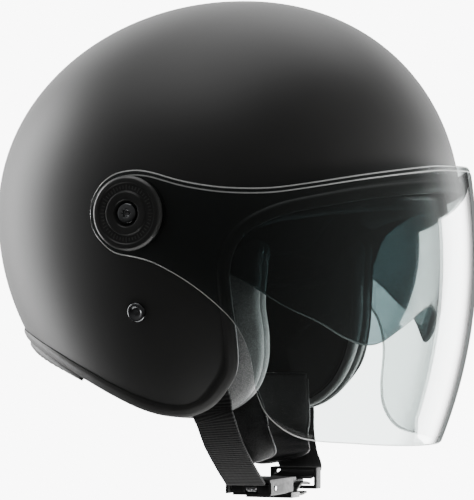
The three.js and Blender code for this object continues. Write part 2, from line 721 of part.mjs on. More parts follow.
function makeLowerStraps() {
  const lower = (route, count, side) =>
    ribbon(route, WEBBING_WIDTH, WEBBING_THICKNESS, count, hug(side), LENGTHWISE);
  add('strap_right', lower(RIGHT_ROUTE, 12, -1), WEBBING);
  add('strap_left', lower(LEFT_ROUTE, 14, 1), WEBBING);
}

// Padded sleeves on the neck's side of the webbing. Each runs up along the inner face of its cheek pad.
function makeStrapPads() {
  const right = [
    [-56.5, 17, -100], [-58, 22, -112], [-61.5, 27, -122], [-64, 31, -130], [-62.5, 34.5, -137],
    [-56.5, 38, -144],
  ];
  const left = [
    [57.5, 7, -96], [59, 7, -108], [62.5, 6, -118], [66, 4, -128], [64, 4, -136], [52, 9, -143.5],
  ];
  add('strap_pad_right', ribbon(right, 40, 5, 14), LEATHERETTE);
  add('strap_pad_left', ribbon(left, 32, 5, 14), LEATHERETTE);
}

function boxAt(low, high) {
  const size = high.clone().sub(low);
  const box = new THREE.BoxGeometry(Math.abs(size.x), Math.abs(size.y), Math.abs(size.z));
  return solidOf(box, new THREE.Matrix4().setPosition(low.clone().add(high).multiplyScalar(0.5)));
}

const LEVER_PIN = { side: -40, up: -160.2, radius: 1.5 };

function crossPin(radius, width) {
  const bar = new THREE.CylinderGeometry(radius, radius, width, 16);
  return solidOf(bar, new THREE.Matrix4().setPosition(LEVER_PIN.side, -BUCKLE.forward, LEVER_PIN.up));
}

// Channel with a floor towards the chin and two walls; the strap is sewn round its end bar.
function makeBuckle() {
  const half = BUCKLE.width / 2;
  const wall = 1.8;
  const near = BUCKLE.forward - half;
  const far = BUCKLE.forward + half;
  const bottom = BUCKLE.top - BUCKLE.depth;
  let frame = boxAt(at(BUCKLE.right, near, BUCKLE.top - wall), at(BUCKLE.left, far, BUCKLE.top));
  for (const edge of [near, far - wall]) {
    const low = at(BUCKLE.right + 2, edge, bottom + 1.5);
    frame = frame.add(boxAt(low, at(BUCKLE.left - 4, edge + wall, BUCKLE.top)));
  }
  frame = frame.subtract(crossPin(LEVER_PIN.radius + 0.35, BUCKLE.width + 4));
  add('buckle_frame', geometryFrom(frame), BLACK_PLASTIC);
  add('buckle_pin', geometryFrom(crossPin(LEVER_PIN.radius, BUCKLE.width + 1)), STEEL);

  const inside = half - wall - 0.6;
  const block = ([from, to], reach, [low, high]) =>
    boxAt(at(from, BUCKLE.forward - reach, low), at(to, BUCKLE.forward + reach, high));
  const hub = block([LEVER_PIN.side - 3, LEVER_PIN.side + 3], inside, [-162.6, -158.8]);
  const blade = block([LEVER_PIN.side - 1, -14], inside, [-164.6, -162.4]);
  const grip = block([-15, -2], inside + 2.4, [-167.4, -164.2]);
  const pawl = block([-22, -18], 7, [-162.6, -161.2]);
  const springGap = block([-60, LEVER_PIN.side + 3.4], 4, [-163.4, -158]);
  const lever = hub.add(blade).add(grip).add(pawl)
    .subtract(springGap)
    .subtract(crossPin(LEVER_PIN.radius + 0.35, BUCKLE.width + 4));
  add('buckle_lever', geometryFrom(lever), BLACK_PLASTIC);
  makeLeverSpring();
  makeTongue();
}

// Coil of the lever's return spring, round the middle of the pin.
function makeLeverSpring() {
  const coil = turned([[1.9, 0], [2.7, 0], [2.7, 6], [1.9, 6]], 14);
  const place = new THREE.Matrix4().setPosition(LEVER_PIN.side, -BUCKLE.forward - 3, LEVER_PIN.up);
  add('lever_spring', coil, STEEL, place);
}

// Ratchet tongue with saw teeth on its lower face.
function makeTongue() {
  const teeth = 9;
  const pitch = 3;
  const start = -34;
  const outline = new THREE.Shape();
  outline.moveTo(start, -157.6);
  outline.lineTo(20, -157.6);
  outline.lineTo(20, -159.4);
  outline.lineTo(start + teeth * pitch + 2, -159.4);
  for (let i = teeth; i > 0; i--) {
    outline.lineTo(start + i * pitch, -160.4);
    outline.lineTo(start + (i - 1) * pitch + 0.2, -159.2);
  }
  const tongue = new THREE.ExtrudeGeometry(outline, { depth: 16, bevelEnabled: false });
  const place = new THREE.Matrix4().makeRotationX(Math.PI / 2).setPosition(0, -BUCKLE.forward + 8, 0);
  add('ratchet_tongue', tongue, BLACK_PLASTIC, place);
}

// Adjuster slide on the left webbing and the free tail that loops back under it.
function makeTail() {
  const near = BUCKLE.forward - 15;
  const far = BUCKLE.forward + 15;
  const slide = boxAt(at(23, near, -164), at(31, far, -151))
    .subtract(boxAt(at(20, near + 1.8, -162.2), at(40, far - 1.8, -152.6)));
  add('strap_slide', geometryFrom(slide), BLACK_PLASTIC);
  const route = [[22.4, 30, -160.6], [12, 30, -163], [2, 30, -165.5]];
  add('strap_tail', ribbon(route, WEBBING_WIDTH - 2, 1.6, 6), WEBBING);
}

makeShell();
makeTrim();
makeRearLip();
makeImpactLiner();
makeComfortLiner();
makeForeheadBand();
makeNeckRoll();
makeCheekPads();
makePivots();
makeVisor();
makeSunVisor();
makeSunVisorPins();
makeSlider();
makeCable();
makeStrapAnchors();
makeUpperStraps();
makeLowerStraps();
makeStrapPads();
makeBuckle();
makeTail();

export default helmet;
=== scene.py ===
# Looks of the open face helmet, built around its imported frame.
# The helmet faces -Y, +Z is up and +X is the wearer's left. Shapes below are worked out in
# millimetres from the same driving sizes as the frame and turned into metres when meshed.
import math
import bmesh
import bpy
import numpy as np
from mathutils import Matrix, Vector


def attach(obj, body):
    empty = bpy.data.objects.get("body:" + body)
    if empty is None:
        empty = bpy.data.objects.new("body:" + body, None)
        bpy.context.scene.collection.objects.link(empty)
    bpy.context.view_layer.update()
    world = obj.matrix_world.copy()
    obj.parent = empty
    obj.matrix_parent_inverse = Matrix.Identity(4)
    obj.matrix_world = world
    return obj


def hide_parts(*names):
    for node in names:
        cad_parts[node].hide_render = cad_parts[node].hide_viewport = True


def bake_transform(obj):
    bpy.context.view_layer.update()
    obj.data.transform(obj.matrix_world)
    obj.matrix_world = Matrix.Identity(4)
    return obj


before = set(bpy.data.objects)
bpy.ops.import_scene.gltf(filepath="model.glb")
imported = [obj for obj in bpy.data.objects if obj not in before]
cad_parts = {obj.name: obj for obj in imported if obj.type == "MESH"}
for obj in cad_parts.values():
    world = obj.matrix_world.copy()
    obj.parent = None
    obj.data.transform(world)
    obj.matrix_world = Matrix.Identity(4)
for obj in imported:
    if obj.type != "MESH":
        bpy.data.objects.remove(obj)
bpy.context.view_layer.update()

MM = 0.001

# ---------- driving sizes of the shell, as in the frame ----------
HALF_WIDTH = 121.0
FRONT = 137.5
REAR = 142.0
DOME_HEIGHT = 127.6
PLAN_POWER = 2.1
DOME_POWER = 2.06
CROWN_SHIFT = 7.0
SKIRT_SIDE = 190.0
SKIRT_ENDS = 140.0
SHELL_THICKNESS = 4.0
LINER_OUTSIDE = 5.5
LINER_INSIDE = 34.0
COMFORT_OUTSIDE = 36.0
COMFORT_INSIDE = 42.0
POLE = np.array([0.0, 0.82, 0.57]) / math.hypot(0.82, 0.57)

PIVOT_FORWARD = -10.0
VISOR_HALF_WIDTH = 126.0
VISOR_THICKNESS = 2.2
VISOR_END_RADIUS = 25.0
LENS_FORWARD = 10.0
LENS_UP = -20.0
LENS_RADIUS = 122.0
LENS_HALF_WIDTH = 110.0
LENS_THICKNESS = 2.0
SIDES = (("right", -1), ("left", 1))


# ---------- surfaces ----------
def full_turn(count):
    return np.linspace(0, 2 * math.pi, count, endpoint=False)


def unit(v):
    return v / np.maximum(np.linalg.norm(v, axis=-1, keepdims=True), 1e-9)


def section(up, depth, forward):
    """Half width, half length and centre of the dome's level section at each height."""
    up = np.asarray(up, float)
    centre = np.where(up > 0, CROWN_SHIFT * (up / DOME_HEIGHT) ** 2, 0.0)
    width = HALF_WIDTH - depth
    length = np.where(forward > centre, FRONT, REAR) - depth
    rise = np.clip(up / (DOME_HEIGHT - depth), 0, 1)
    shrink = (1 - rise ** DOME_POWER) ** (1 / DOME_POWER)
    side = np.where(up > 0, shrink, np.sqrt(np.maximum(1 - (up / SKIRT_SIDE) ** 2, 0)))
    ends = np.where(up > 0, shrink, np.sqrt(np.maximum(1 - (up / SKIRT_ENDS) ** 2, 0)))
    return width * side, length * ends, centre


def reach(p, depth):
    """Over 1 outside the dome's surface at a depth, under 1 inside."""
    forward = -p[..., 1]
    width, length, centre = section(p[..., 2], depth, forward)
    x = np.abs(p[..., 0]) / np.maximum(width, 1e-6)
    y = np.abs(forward - centre) / np.maximum(length, 1e-6)
    return x ** PLAN_POWER + y ** PLAN_POWER


def surface_point(d, outside, nearest, halvings):
    """Where rays from the origin leave a closed surface, found by halving the range in millimetres."""
    low = np.full(d.shape[:-1], nearest)
    high = np.full(d.shape[:-1], 200.0)
    for _ in range(halvings):
        half = (low + high) / 2
        out = outside(d * half[..., None])
        high = np.where(out, half, high)
        low = np.where(out, low, half)
    return d * low[..., None]


def dome(directions, depth):
    """Points of the dome's surface in directions from the origin; depth may vary by point."""
    d = unit(np.asarray(directions, float))
    depth = np.broadcast_to(np.asarray(depth, float), d.shape[:-1])
    return surface_point(d, lambda p: reach(p, depth) > 1, 20.0, 40)


def dome_normal(p):
    """Outward normals of the outer surface at points."""
    base = dome(p, 0)
    east = unit(np.cross(base, np.cross(np.cross(POLE, base), base)))
    north = unit(np.cross(base, east))
    a = dome(base + east, 0) - dome(base - east, 0)
    b = dome(base + north, 0) - dome(base - north, 0)
    n = unit(np.cross(a, b))
    return np.where((n * base).sum(-1, keepdims=True) < 0, -n, n)


def at(side, forward, up):
    return np.array([side, -forward, up], float)


def beside(side, forward, up, depth=0.0):
    """The dome's point beside a place in the side view."""
    forward = np.asarray(forward, float)
    up = np.asarray(up, float)
    width, length, centre = section(up, depth, forward)
    left = np.maximum(1 - (np.abs(forward - centre) / length) ** PLAN_POWER, 0)
    x = side * width * left ** (1 / PLAN_POWER)
    return np.stack([np.broadcast_to(x, forward.shape), -forward, np.broadcast_to(up, forward.shape)], -1)


def catmull(points, count, closed=False):
    """Evenly spaced points on a centripetal Catmull-Rom curve through the given ones."""
    pts = np.asarray(points, float)
    n = len(pts)
    if closed:
        ext = np.concatenate([pts[-1:], pts, pts[:2]])
        spans = n
    else:
        ext = np.concatenate([2 * pts[:1] - pts[1:2], pts, 2 * pts[-1:] - pts[-2:-1]])
        spans = n - 1
    dense = []
    t = np.linspace(0, 1, 24, endpoint=False)[:, None]
    for i in range(spans):
        p0, p1, p2, p3 = ext[i:i + 4]
        d1, d2, d3 = (max(np.linalg.norm(b - a), 1e-6) ** 0.5 for a, b in ((p0, p1), (p1, p2), (p2, p3)))
        m1 = (p1 - p0) / d1 - (p2 - p0) / (d1 + d2) + (p2 - p1) / d2
        m2 = (p2 - p1) / d2 - (p3 - p1) / (d2 + d3) + (p3 - p2) / d3
        m1, m2 = m1 * d2, m2 * d2
        square = (-3 * p1 + 3 * p2 - 2 * m1 - m2) * t ** 2
        cube = (2 * p1 - 2 * p2 + m1 + m2) * t ** 3
        dense.append(p1 + m1 * t + square + cube)
    dense.append(ext[spans + 1][None] if not closed else pts[:1])
    return respace(np.concatenate(dense), count, closed)


def length_along(points):
    return np.concatenate([[0], np.cumsum(np.linalg.norm(np.diff(points, axis=0), axis=1))])


def respace(line, count, closed=False):
    """The same line with evenly spaced points."""
    along = length_along(line)
    want = np.linspace(0, along[-1], count, endpoint=not closed)
    return np.stack([np.interp(want, along, line[:, k]) for k in range(line.shape[1])], -1)


def mirrored_loop(half, count):
    """A closed loop on the dome from one half's (forward, up) points, nape first and forehead last."""
    sides = np.stack([beside(1, f, u) for f, u in half[1:-1]])
    ends = []
    for up, front in ((half[0][1], False), (half[-1][1], True)):
        _, length, centre = section(up, 0, 1.0 if front else -1.0)
        ends.append(at(0, centre + length if front else centre - length, up))
    other = sides[::-1] * [-1, 1, 1]
    loop = catmull(np.concatenate([ends[:1], sides, ends[1:], other]), count, closed=True)
    return dome(loop, 0.0)


def inward_steps(loop):
    """Unit steps along the surface, square to the loop, towards the crown."""
    along = np.roll(loop, -1, 0) - np.roll(loop, 1, 0)
    step = unit(np.cross(along, dome_normal(loop)))
    return np.where((step @ POLE)[:, None] < 0, -step, step)


OPENING = [
    (-REAR, -72), (-105, -75.5), (-80, -84.5), (-55, -95.5), (-34.5, -105), (-14, -113.3), (1, -116.6),
    (15, -116.4), (28.3, -110.5), (37.8, -101.1), (45.2, -89.5), (47.6, -71.6), (47, -50), (47, -31.7),
    (50.2, -20.4), (55.7, -12.4), (62.9, -7), (76, -1), (92, 3.1), (118, 8.8), (FRONT, 12.4),
]
LOOP_COUNT = 432
opening = mirrored_loop(OPENING, LOOP_COUNT)
opening_steps = inward_steps(opening)
SHELL_EDGE = 2.2
TRIM_WIDTH = 7.6


def from_edge(step, depth, pick=slice(None)):
    """Points a distance in from the opening's edge, at a depth below the shell's surface."""
    step = np.asarray(step, float)
    base = opening[pick]
    return dome(base + opening_steps[pick] * np.broadcast_to(step, base.shape[:1])[:, None], depth)


# ---------- meshes ----------
def mesh_piece(name, shape, body, node, material, uvs=None, smooth=True):
    """A closed mesh of a (points, faces) shape in millimetres, hung on a body and hiding the frame nodes it
    stands for; node may be a list.
    """
    points, faces = shape
    mesh = bpy.data.meshes.new(name)
    mesh.from_pydata((np.asarray(points) * MM).tolist(), [], faces)
    mesh.validate()
    piece = bpy.data.objects.new(name, mesh)
    bpy.context.collection.objects.link(piece)
    if uvs is not None:
        layer = mesh.uv_layers.new(name="UVMap")
        corners = np.zeros(len(mesh.loops), int)
        mesh.loops.foreach_get("vertex_index", corners)
        layer.data.foreach_set("uv", np.asarray(uvs, float)[corners].ravel())
    face_out(piece)
    if smooth:
        mesh.shade_smooth()
    mesh.materials.append(material)
    if body:
        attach(piece, body)
    if node:
        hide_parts(*(node if isinstance(node, list) else [node]))
    return piece


def face_out(piece):
    """Turns the faces outward on a closed mesh."""
    bm = bmesh.new()
    bm.from_mesh(piece.data)
    bmesh.ops.recalc_face_normals(bm, faces=bm.faces)
    if bm.calc_volume(signed=True) < 0:
        bmesh.ops.reverse_faces(bm, faces=bm.faces)
    bm.to_mesh(piece.data)
    bm.free()


def ring_quads(rows, n, steps):
    """Quads that join each of the first rows of n points to the next, round and round."""
    faces = []
    for i in range(steps):
        a, b = i * n, ((i + 1) % rows) * n
        for j in range(n):
            k = (j + 1) % n
            faces.append((a + j, a + k, b + k, b + j))
    return faces


def rings_mesh(rings, loop=False, first=None, last=None):
    """Points and faces of a closed loft through rings of shape (rows, n, 3)."""
    rings = np.asarray(rings, float)
    rows, n = rings.shape[:2]
    points = rings.reshape(-1, 3)
    faces = ring_quads(rows, n, rows if loop else rows - 1)
    if not loop:
        first = rings[0].mean(0) if first is None else first
        last = rings[-1].mean(0) if last is None else last
        points = np.concatenate([points, [first, last]])
        top = (rows - 1) * n
        for j in range(n):
            k = (j + 1) % n
            faces.append((len(points) - 2, k, j))
            faces.append((len(points) - 1, top + j, top + k))
    return points, faces


def strip_mesh(rings):
    """As rings_mesh for strip-shaped rings (there and back along a curve); ends close with quads."""
    rings = np.asarray(rings, float)
    rows, n = rings.shape[:2]
    faces = ring_quads(rows, n, rows - 1)
    for start, flip in ((0, False), ((rows - 1) * n, True)):
        for j in range(n // 2 - 1):
            quad = (start + j, start + j + 1, start + n - 2 - j, start + n - 1 - j)
            faces.append(quad if flip else quad[::-1])
    return rings.reshape(-1, 3), faces


def lathe(profile, segments):
    """Rings of a turned shape about +Z from (radius, height) pairs; first and last lie on the axis."""
    turn = full_turn(segments)
    circle = np.stack([np.cos(turn), np.sin(turn), np.zeros(segments)], -1)
    rings = [circle * r + [0, 0, h] for r, h in profile[1:-1]]
    return rings_mesh(rings, first=[0, 0, profile[0][1]], last=[0, 0, profile[-1][1]])


def ring_lathe(profile, segments):
    """Rings of a turned tube about +Z from a closed (radius, height) profile."""
    turn = full_turn(segments)
    p = np.asarray(profile, float)
    rings = [np.stack([p[:, 0] * math.cos(t), p[:, 0] * math.sin(t), p[:, 1]], -1) for t in turn]
    return rings_mesh(rings, loop=True)


def soften(profile, radius, steps):
    """Rounds the corners of a closed (radius, height) profile."""
    p = np.asarray(profile, float)
    out = []
    for i in range(len(p)):
        before, here, after = p[i - 1], p[i], p[(i + 1) % len(p)]
        a, b = before - here, after - here
        la, lb = np.linalg.norm(a), np.linalg.norm(b)
        cut = min(radius, la * 0.45, lb * 0.45)
        start, end = here + a / la * cut, here + b / lb * cut
        for t in np.linspace(0, 1, steps):
            out.append((1 - t) ** 2 * start + 2 * t * (1 - t) * here + t ** 2 * end)
    return np.asarray(out)


def side_frame(side, out, forward, up):
    """Turns points standing on +Z to stand outward from a side: rotation matrix and origin."""
    axes = np.array([[0, -side, 0], [0, 0, 1], [side, 0, 0]], float)
    return axes, np.array([side * out, -forward, up], float)


def shell_frame(side, forward, up):
    p = beside(side, forward, up)
    normal = dome_normal(p[None])[0]
    along = unit(np.array([0, -1.0, 0]) + normal * normal[1])
    across = np.cross(along, normal)
    return np.stack([across, along, normal]), p


def placed(shape, where):
    """A shape moved to where a side_frame or shell_frame stands."""
    axes, origin = where
    points, faces = shape
    return np.asarray(points, float) @ axes + origin, faces


# ---------- materials ----------
def blank_material(name, kind="Object"):
    """A material without nodes, its tree and the coordinates its patterns lie in."""
    material = bpy.data.materials.new(name)
    material.use_nodes = True
    tree = material.node_tree
    tree.nodes.clear()
    return material, tree, coords(tree, kind)


def node(tree, kind, links=None, **values):
    """Adds a node, sets its sockets or properties by name and links its inputs from sockets or nodes."""
    made = tree.nodes.new(kind)
    for key, value in values.items():
        if key in made.inputs.keys():
            made.inputs[key].default_value = value
        else:
            setattr(made, key, value)
    for key, source in (links or {}).items():
        tree.links.new(first_output(source), made.inputs[key])
    return made


def first_output(source):
    return source.outputs[0] if isinstance(source, bpy.types.Node) else source


def math_node(tree, operation, *values):
    """A maths node whose inputs are sockets, nodes or numbers."""
    made = node(tree, "ShaderNodeMath", operation=operation)
    for socket, value in zip(made.inputs, values):
        if isinstance(value, float):
            socket.default_value = value
        else:
            tree.links.new(first_output(value), socket)
    return made


def noise(tree, place, scale, detail, **values):
    made = node(tree, "ShaderNodeTexNoise", {"Vector": place}, Scale=scale, Detail=detail, **values)
    return made.outputs["Fac"]


def cells(tree, place, scale, **values):
    return node(tree, "ShaderNodeTexVoronoi", {"Vector": place}, Scale=scale, **values).outputs["Distance"]


def ramp(tree, source, stops):
    """A colour ramp through (place, grey or colour) stops."""
    made = node(tree, "ShaderNodeValToRGB", {"Fac": source})
    elements = made.color_ramp.elements
    while len(elements) < len(stops):
        elements.new(0.5)
    for element, (place, tone) in zip(elements, stops):
        element.position = place
        element.color = (*tone, 1) if isinstance(tone, tuple) else (tone, tone, tone, 1)
    return made.outputs["Color"]


def coords(tree, kind):
    return node(tree, "ShaderNodeTexCoord").outputs[kind]


def bump(tree, height, strength, distance, normal=None):
    links = {"Height": height}
    if normal is not None:
        links["Normal"] = normal
    return node(tree, "ShaderNodeBump", links, Strength=strength, Distance=distance).outputs["Normal"]


def shades(colour, *shares):
    return [tuple(c * share for c in colour) for share in shares]


def ended(material, shader):
    """The material with its output fed by a shader."""
    tree = material.node_tree
    out = node(tree, "ShaderNodeOutputMaterial")
    tree.links.new(shader.outputs[0], out.inputs[0])
    return material


def solid(material, tint, gloss, normal, **values):
    """A material ended in one principled shader; gloss and normal may be None where they're plain."""
    sockets = {"Base Color": tint, "Roughness": gloss, "Normal": normal}
    links = {name: socket for name, socket in sockets.items() if socket is not None}
    return ended(material, node(material.node_tree, "ShaderNodeBsdfPrincipled", links, **values))


def matt_paint():
    material, tree, place = blank_material("matt_black_paint")
    fine = noise(tree, place, 2600.0, 3.0, Roughness=0.6)
    peel = noise(tree, place, 420.0, 2.0)
    broad = noise(tree, place, 22.0, 4.0)
    tint = ramp(tree, broad, [(0.3, (0.0105, 0.0105, 0.0102)), (0.7, (0.0135, 0.0134, 0.013))])
    gloss = ramp(tree, fine, [(0.25, 0.40), (0.75, 0.50)])
    normal = bump(tree, fine, 0.12, 0.00004)
    normal = bump(tree, peel, 0.03, 0.0001, normal)
    return solid(material, tint, gloss, normal)


def grained(name, colour, rough, grain, depth, strength=0.5, shine=0.5):
    """Moulded rubber or plastic with a fine eroded grain."""
    material, tree, place = blank_material(name)
    eroded = noise(tree, place, grain * 0.35, 4.0)
    broad = noise(tree, place, 30.0, 3.0)
    low, high = shades(colour, 0.75, 1.25)
    tint = ramp(tree, broad, [(0.3, low), (0.7, high)])
    gloss = ramp(tree, eroded, [(0.3, max(rough - 0.06, 0.05)), (0.7, rough + 0.06)])
    height = math_node(tree, "ADD", cells(tree, place, grain), eroded)
    normal = bump(tree, height, strength, depth)
    return solid(material, tint, gloss, normal, **{"Specular IOR Level": shine})


def leatherette(name, low, high, shine):
    """Coated upholstery cloth with a fine pebbled grain and painted shade in the crevices between the
    pebbles.
    """
    material, tree, place = blank_material(name)
    warp = node(tree, "ShaderNodeTexNoise", {"Vector": place}, Scale=260.0, Detail=3.0)
    mixed = node(tree, "ShaderNodeMixRGB", {"Color1": place, "Color2": warp.outputs["Color"]}, Fac=0.004)
    pebbles = cells(tree, mixed, 1000.0, feature="DISTANCE_TO_EDGE")
    crease = ramp(tree, pebbles, [(0.0, 0.0), (0.2, 1.0)])
    # painted shade: the colour is darkened in the crevices between the pebbles
    shade = ramp(tree, pebbles, [(0.02, 0.3), (0.24, 1.0)])
    pores = noise(tree, place, 2400.0, 2.0)
    broad = noise(tree, place, 60.0, 5.0)
    tint = ramp(tree, broad, [(0.3, low), (0.75, high)])
    tint = node(tree, "ShaderNodeMixRGB", {"Color1": tint, "Color2": shade}, blend_type="MULTIPLY", Fac=1.0)
    gloss = ramp(tree, pores, [(0.3, 0.42), (0.7, 0.56)])
    normal = bump(tree, crease, 0.7, 0.00012)
    normal = bump(tree, pores, 0.2, 0.00005, normal)
    sheen = {"Specular IOR Level": shine, "Sheen Weight": shine * 0.5, "Sheen Roughness": 0.35}
    return solid(material, tint, gloss, normal, **sheen)


def mesh_lining():
    """Soft open-knit lining with a fuzzy sheen."""
    material, tree, place = blank_material("mesh_lining")
    knit = 1500.0
    colour = (0.028, 0.028, 0.027)
    holes = ramp(tree, cells(tree, place, knit), [(0.1, 0.0), (0.5, 1.0)])
    fuzz = noise(tree, place, knit * 3, 4.0)
    tint = ramp(tree, noise(tree, place, 35.0, 4.0), [(0.25, shades(colour, 0.7)[0]), (0.75, colour)])
    normal = bump(tree, holes, 0.5, 0.00016)
    normal = bump(tree, fuzz, 0.3, 0.00008, normal)
    sheen = {"Sheen Weight": 0.12, "Sheen Roughness": 0.5}
    return solid(material, tint, None, normal, Roughness=0.92, **sheen)


def foam_beads():
    material, tree, place = blank_material("bead_foam")
    beads = cells(tree, place, 330.0)
    tint = ramp(tree, beads, [(0.1, (0.020, 0.020, 0.021)), (0.6, (0.010, 0.010, 0.011))])
    normal = bump(tree, beads, 0.6, 0.0006)
    normal = bump(tree, noise(tree, place, 1400.0, 3.0), 0.3, 0.0001, normal)
    return solid(material, tint, None, normal, Roughness=0.85)


def webbing_weave(name, colour, picks):
    """Woven webbing; u runs across in millimetres and v along, with picks to the millimetre."""
    material, tree, place = blank_material(name, "UV")
    split = node(tree, "ShaderNodeSeparateXYZ", {"Vector": place})
    lengthwise = wave(tree, split.outputs[0], 1 / 2.6)
    crosswise = wave(tree, split.outputs[1], picks)
    height = math_node(tree, "MULTIPLY_ADD", lengthwise, 0.25, crosswise)
    # painted shade: the grooves between the ribs are coloured darker and the ribs paler
    low, high = shades(colour, 0.6, 1.3)
    tint = ramp(tree, height, [(0.1, low), (0.8, high)])
    normal = bump(tree, height, 0.8, 0.0004)
    normal = bump(tree, noise(tree, place, 9.0, 3.0), 0.35, 0.0001, normal)
    dull = {"Specular IOR Level": 0.2, "Sheen Weight": 0.03}
    return solid(material, tint, None, normal, Roughness=0.8, **dull)


def wave(tree, source, per_unit):
    """A 0 to 1 sine of a coordinate."""
    turn = math_node(tree, "MULTIPLY", source, per_unit * 2 * math.pi)
    return math_node(tree, "MULTIPLY_ADD", math_node(tree, "SINE", turn), 0.5, 0.5)


def metal(name, colour, rough, brushed=0.0):
    material, tree, place = blank_material(name)
    grain = noise(tree, place, 900.0, 4.0)
    gloss = ramp(tree, grain, [(0.3, max(rough - 0.06, 0.03)), (0.7, rough + 0.06)])
    tint = ramp(tree, grain, [(0.3, shades(colour, 0.85)[0]), (0.7, colour)])
    normal = bump(tree, grain, 0.1 + brushed, 0.00003)
    return solid(material, tint, gloss, normal, Metallic=1.0)


def clear_sheet(name, tint, rough, haze):
    """Thin see-through plastic: light passes straight on, tinted, under a mirror-like surface."""
    material, tree, place = blank_material(name)
    normal = bump(tree, noise(tree, place, 18.0, 2.0), 0.02, 0.0002)
    facing = node(tree, "ShaderNodeLayerWeight", {"Normal": normal}, Blend=0.5).outputs["Facing"]
    # tint by how edge-on the sheet is seen, then the mirror's share of what is seen
    rim = [(0.64, 1), (0.7, 0.6), (0.77, 0.3), (0.84, 0.22), (1.0, 0.22)]
    through_tint = ramp(tree, facing, [(stop, shades(tint, share)[0]) for stop, share in rim])
    mirror = ramp(tree, facing, [(0.0, 0.012), (0.33, 0.03), (0.42, 0.18), (0.5, 0.3), (0.62, 0.36),
                                 (0.67, 0.34), (0.73, 0.08), (0.78, 0.02), (1.0, 0.02)])
    through = node(tree, "ShaderNodeBsdfTransparent", {"Color": through_tint})
    shine = node(tree, "ShaderNodeBsdfGlossy", {"Normal": normal}, Roughness=rough)
    clean = node(tree, "ShaderNodeMixShader", {"Fac": mirror, 1: through, 2: shine})
    dust = node(tree, "ShaderNodeBsdfDiffuse", Color=(0.8, 0.8, 0.78, 1))
    dusty = node(tree, "ShaderNodeMixShader", {1: clean, 2: dust}, Fac=haze)
    return ended(material, dusty)


def sheet_edge(name, colour, share):
    """The polished edge of a clear sheet: it gathers light, so it shows as a pale line."""
    material, tree, place = blank_material(name)
    grain = noise(tree, place, 300.0, 2.0)
    tint = ramp(tree, grain, [(0.3, shades(colour, 0.85)[0]), (0.7, colour)])
    body = node(tree, "ShaderNodeBsdfPrincipled", {"Base Color": tint}, Roughness=0.18)
    through = node(tree, "ShaderNodeBsdfTransparent", Color=(0.8, 0.83, 0.82, 1))
    mixed = node(tree, "ShaderNodeMixShader", {1: through, 2: body}, Fac=share)
    return ended(material, mixed)


PAINT = matt_paint()
RUBBER = grained("edge_rubber", (0.0125, 0.0125, 0.012), 0.46, grain=1500.0, depth=0.00008)
PLASTIC = grained("moulded_plastic", (0.012, 0.0122, 0.0118), 0.34, grain=1700.0, depth=0.00005,
                  strength=0.35)
# painted highlight: the leatherette of the cheek pads, brow band and neck roll is made far paler than the
# black cloth it is, standing in for the silvery sheen on it; the sleeve copy below keeps the dark colour
LEATHER_PAINTED_LIGHT = leatherette("grained_leatherette_painted_light", 0.11, 0.16, 1.0)
SOFT_LEATHER = leatherette("sleeve_leatherette", 0.025, 0.035, 0.5)
SEAM = leatherette("dark_piping", 0.012, 0.018, 0.3)
LINING = mesh_lining()
FOAM = foam_beads()
WEBBING = webbing_weave("ribbed_webbing", (0.013, 0.013, 0.013), 0.62)
LIGHT_WEBBING = webbing_weave("light_webbing", (0.09, 0.09, 0.088), 0.3)
STEEL = metal("zinc_steel", (0.55, 0.55, 0.56), 0.35, 0.1)
DARK_CHROME = metal("dark_chrome", (0.20, 0.205, 0.21), 0.16)
BUCKLE = grained("buckle_plastic", (0.013, 0.013, 0.013), 0.6, grain=1700.0, depth=0.00004, shine=0.2)
LEVER = grained("lever_plastic", (0.014, 0.014, 0.0142), 0.46, grain=2400.0, depth=0.00001,
                strength=0.2, shine=0.25)
TICK = grained("raised_ticks", (0.035, 0.035, 0.034), 0.42, grain=2000.0, depth=0.00002)
CLEAR = clear_sheet("clear_polycarbonate", (0.71, 0.74, 0.735), 0.02, 0.004)
CLEAR_EDGE = sheet_edge("clear_sheet_edge", (0.45, 0.46, 0.45), 0.7)
SMOKE = clear_sheet("smoke_polycarbonate", (0.33, 0.385, 0.395), 0.03, 0.012)
SMOKE_EDGE = sheet_edge("smoke_sheet_edge", (0.10, 0.12, 0.12), 0.8)


# ---------- shell, trim and linings ----------
def toward(edge, shares):
    """Directions from the pole out to each edge point, (share, point, 3)."""
    d = unit(edge)
    angle = np.arccos(np.clip(d @ POLE, -1, 1))
    side = unit(d - (d @ POLE)[:, None] * POLE)
    turn = np.asarray(shares)[:, None] * angle[None]
    return np.cos(turn)[..., None] * POLE + np.sin(turn)[..., None] * side[None]


def dome_wall(edge, outer, inner, rows, rim=0.8):
    """A dome-shaped wall whose rim is rounded by a little."""
    shares = np.concatenate([np.linspace(0, 1, rows + 1)[1:-1], [0.985, 0.995]])
    directions = toward(edge, shares)
    edge_directions = toward(edge, [1.0])
    rim = min(rim, (inner - outer) / 3)
    rings = np.concatenate([dome(directions, outer), dome(edge_directions, outer + rim),
                            dome(edge_directions, inner - rim), dome(directions[::-1], inner)])
    return rings_mesh(rings, first=dome(POLE[None], outer)[0], last=dome(POLE[None], inner)[0])


def make_shell():
    edge = from_edge(SHELL_EDGE, 0)
    shape = dome_wall(edge, 0.0, SHELL_THICKNESS, 72)
    mesh_piece("shell_skin", shape, "helmet", "outer_shell", PAINT)


def sweep_edge(profile, pick=None, loop=True):
    """Sweeps a (step, depth) section along the opening; profile may be a function of place."""
    index = np.arange(LOOP_COUNT) if pick is None else np.asarray(pick) % LOOP_COUNT
    section_at = profile if callable(profile) else (lambda t: profile)
    sections = np.array([section_at(t) for t in np.linspace(-1, 1, len(index))])
    rings = [from_edge(sections[:, j, 0], sections[:, j, 1], index) for j in range(sections.shape[1])]
    return rings_mesh(np.stack(rings, 1), loop=loop)


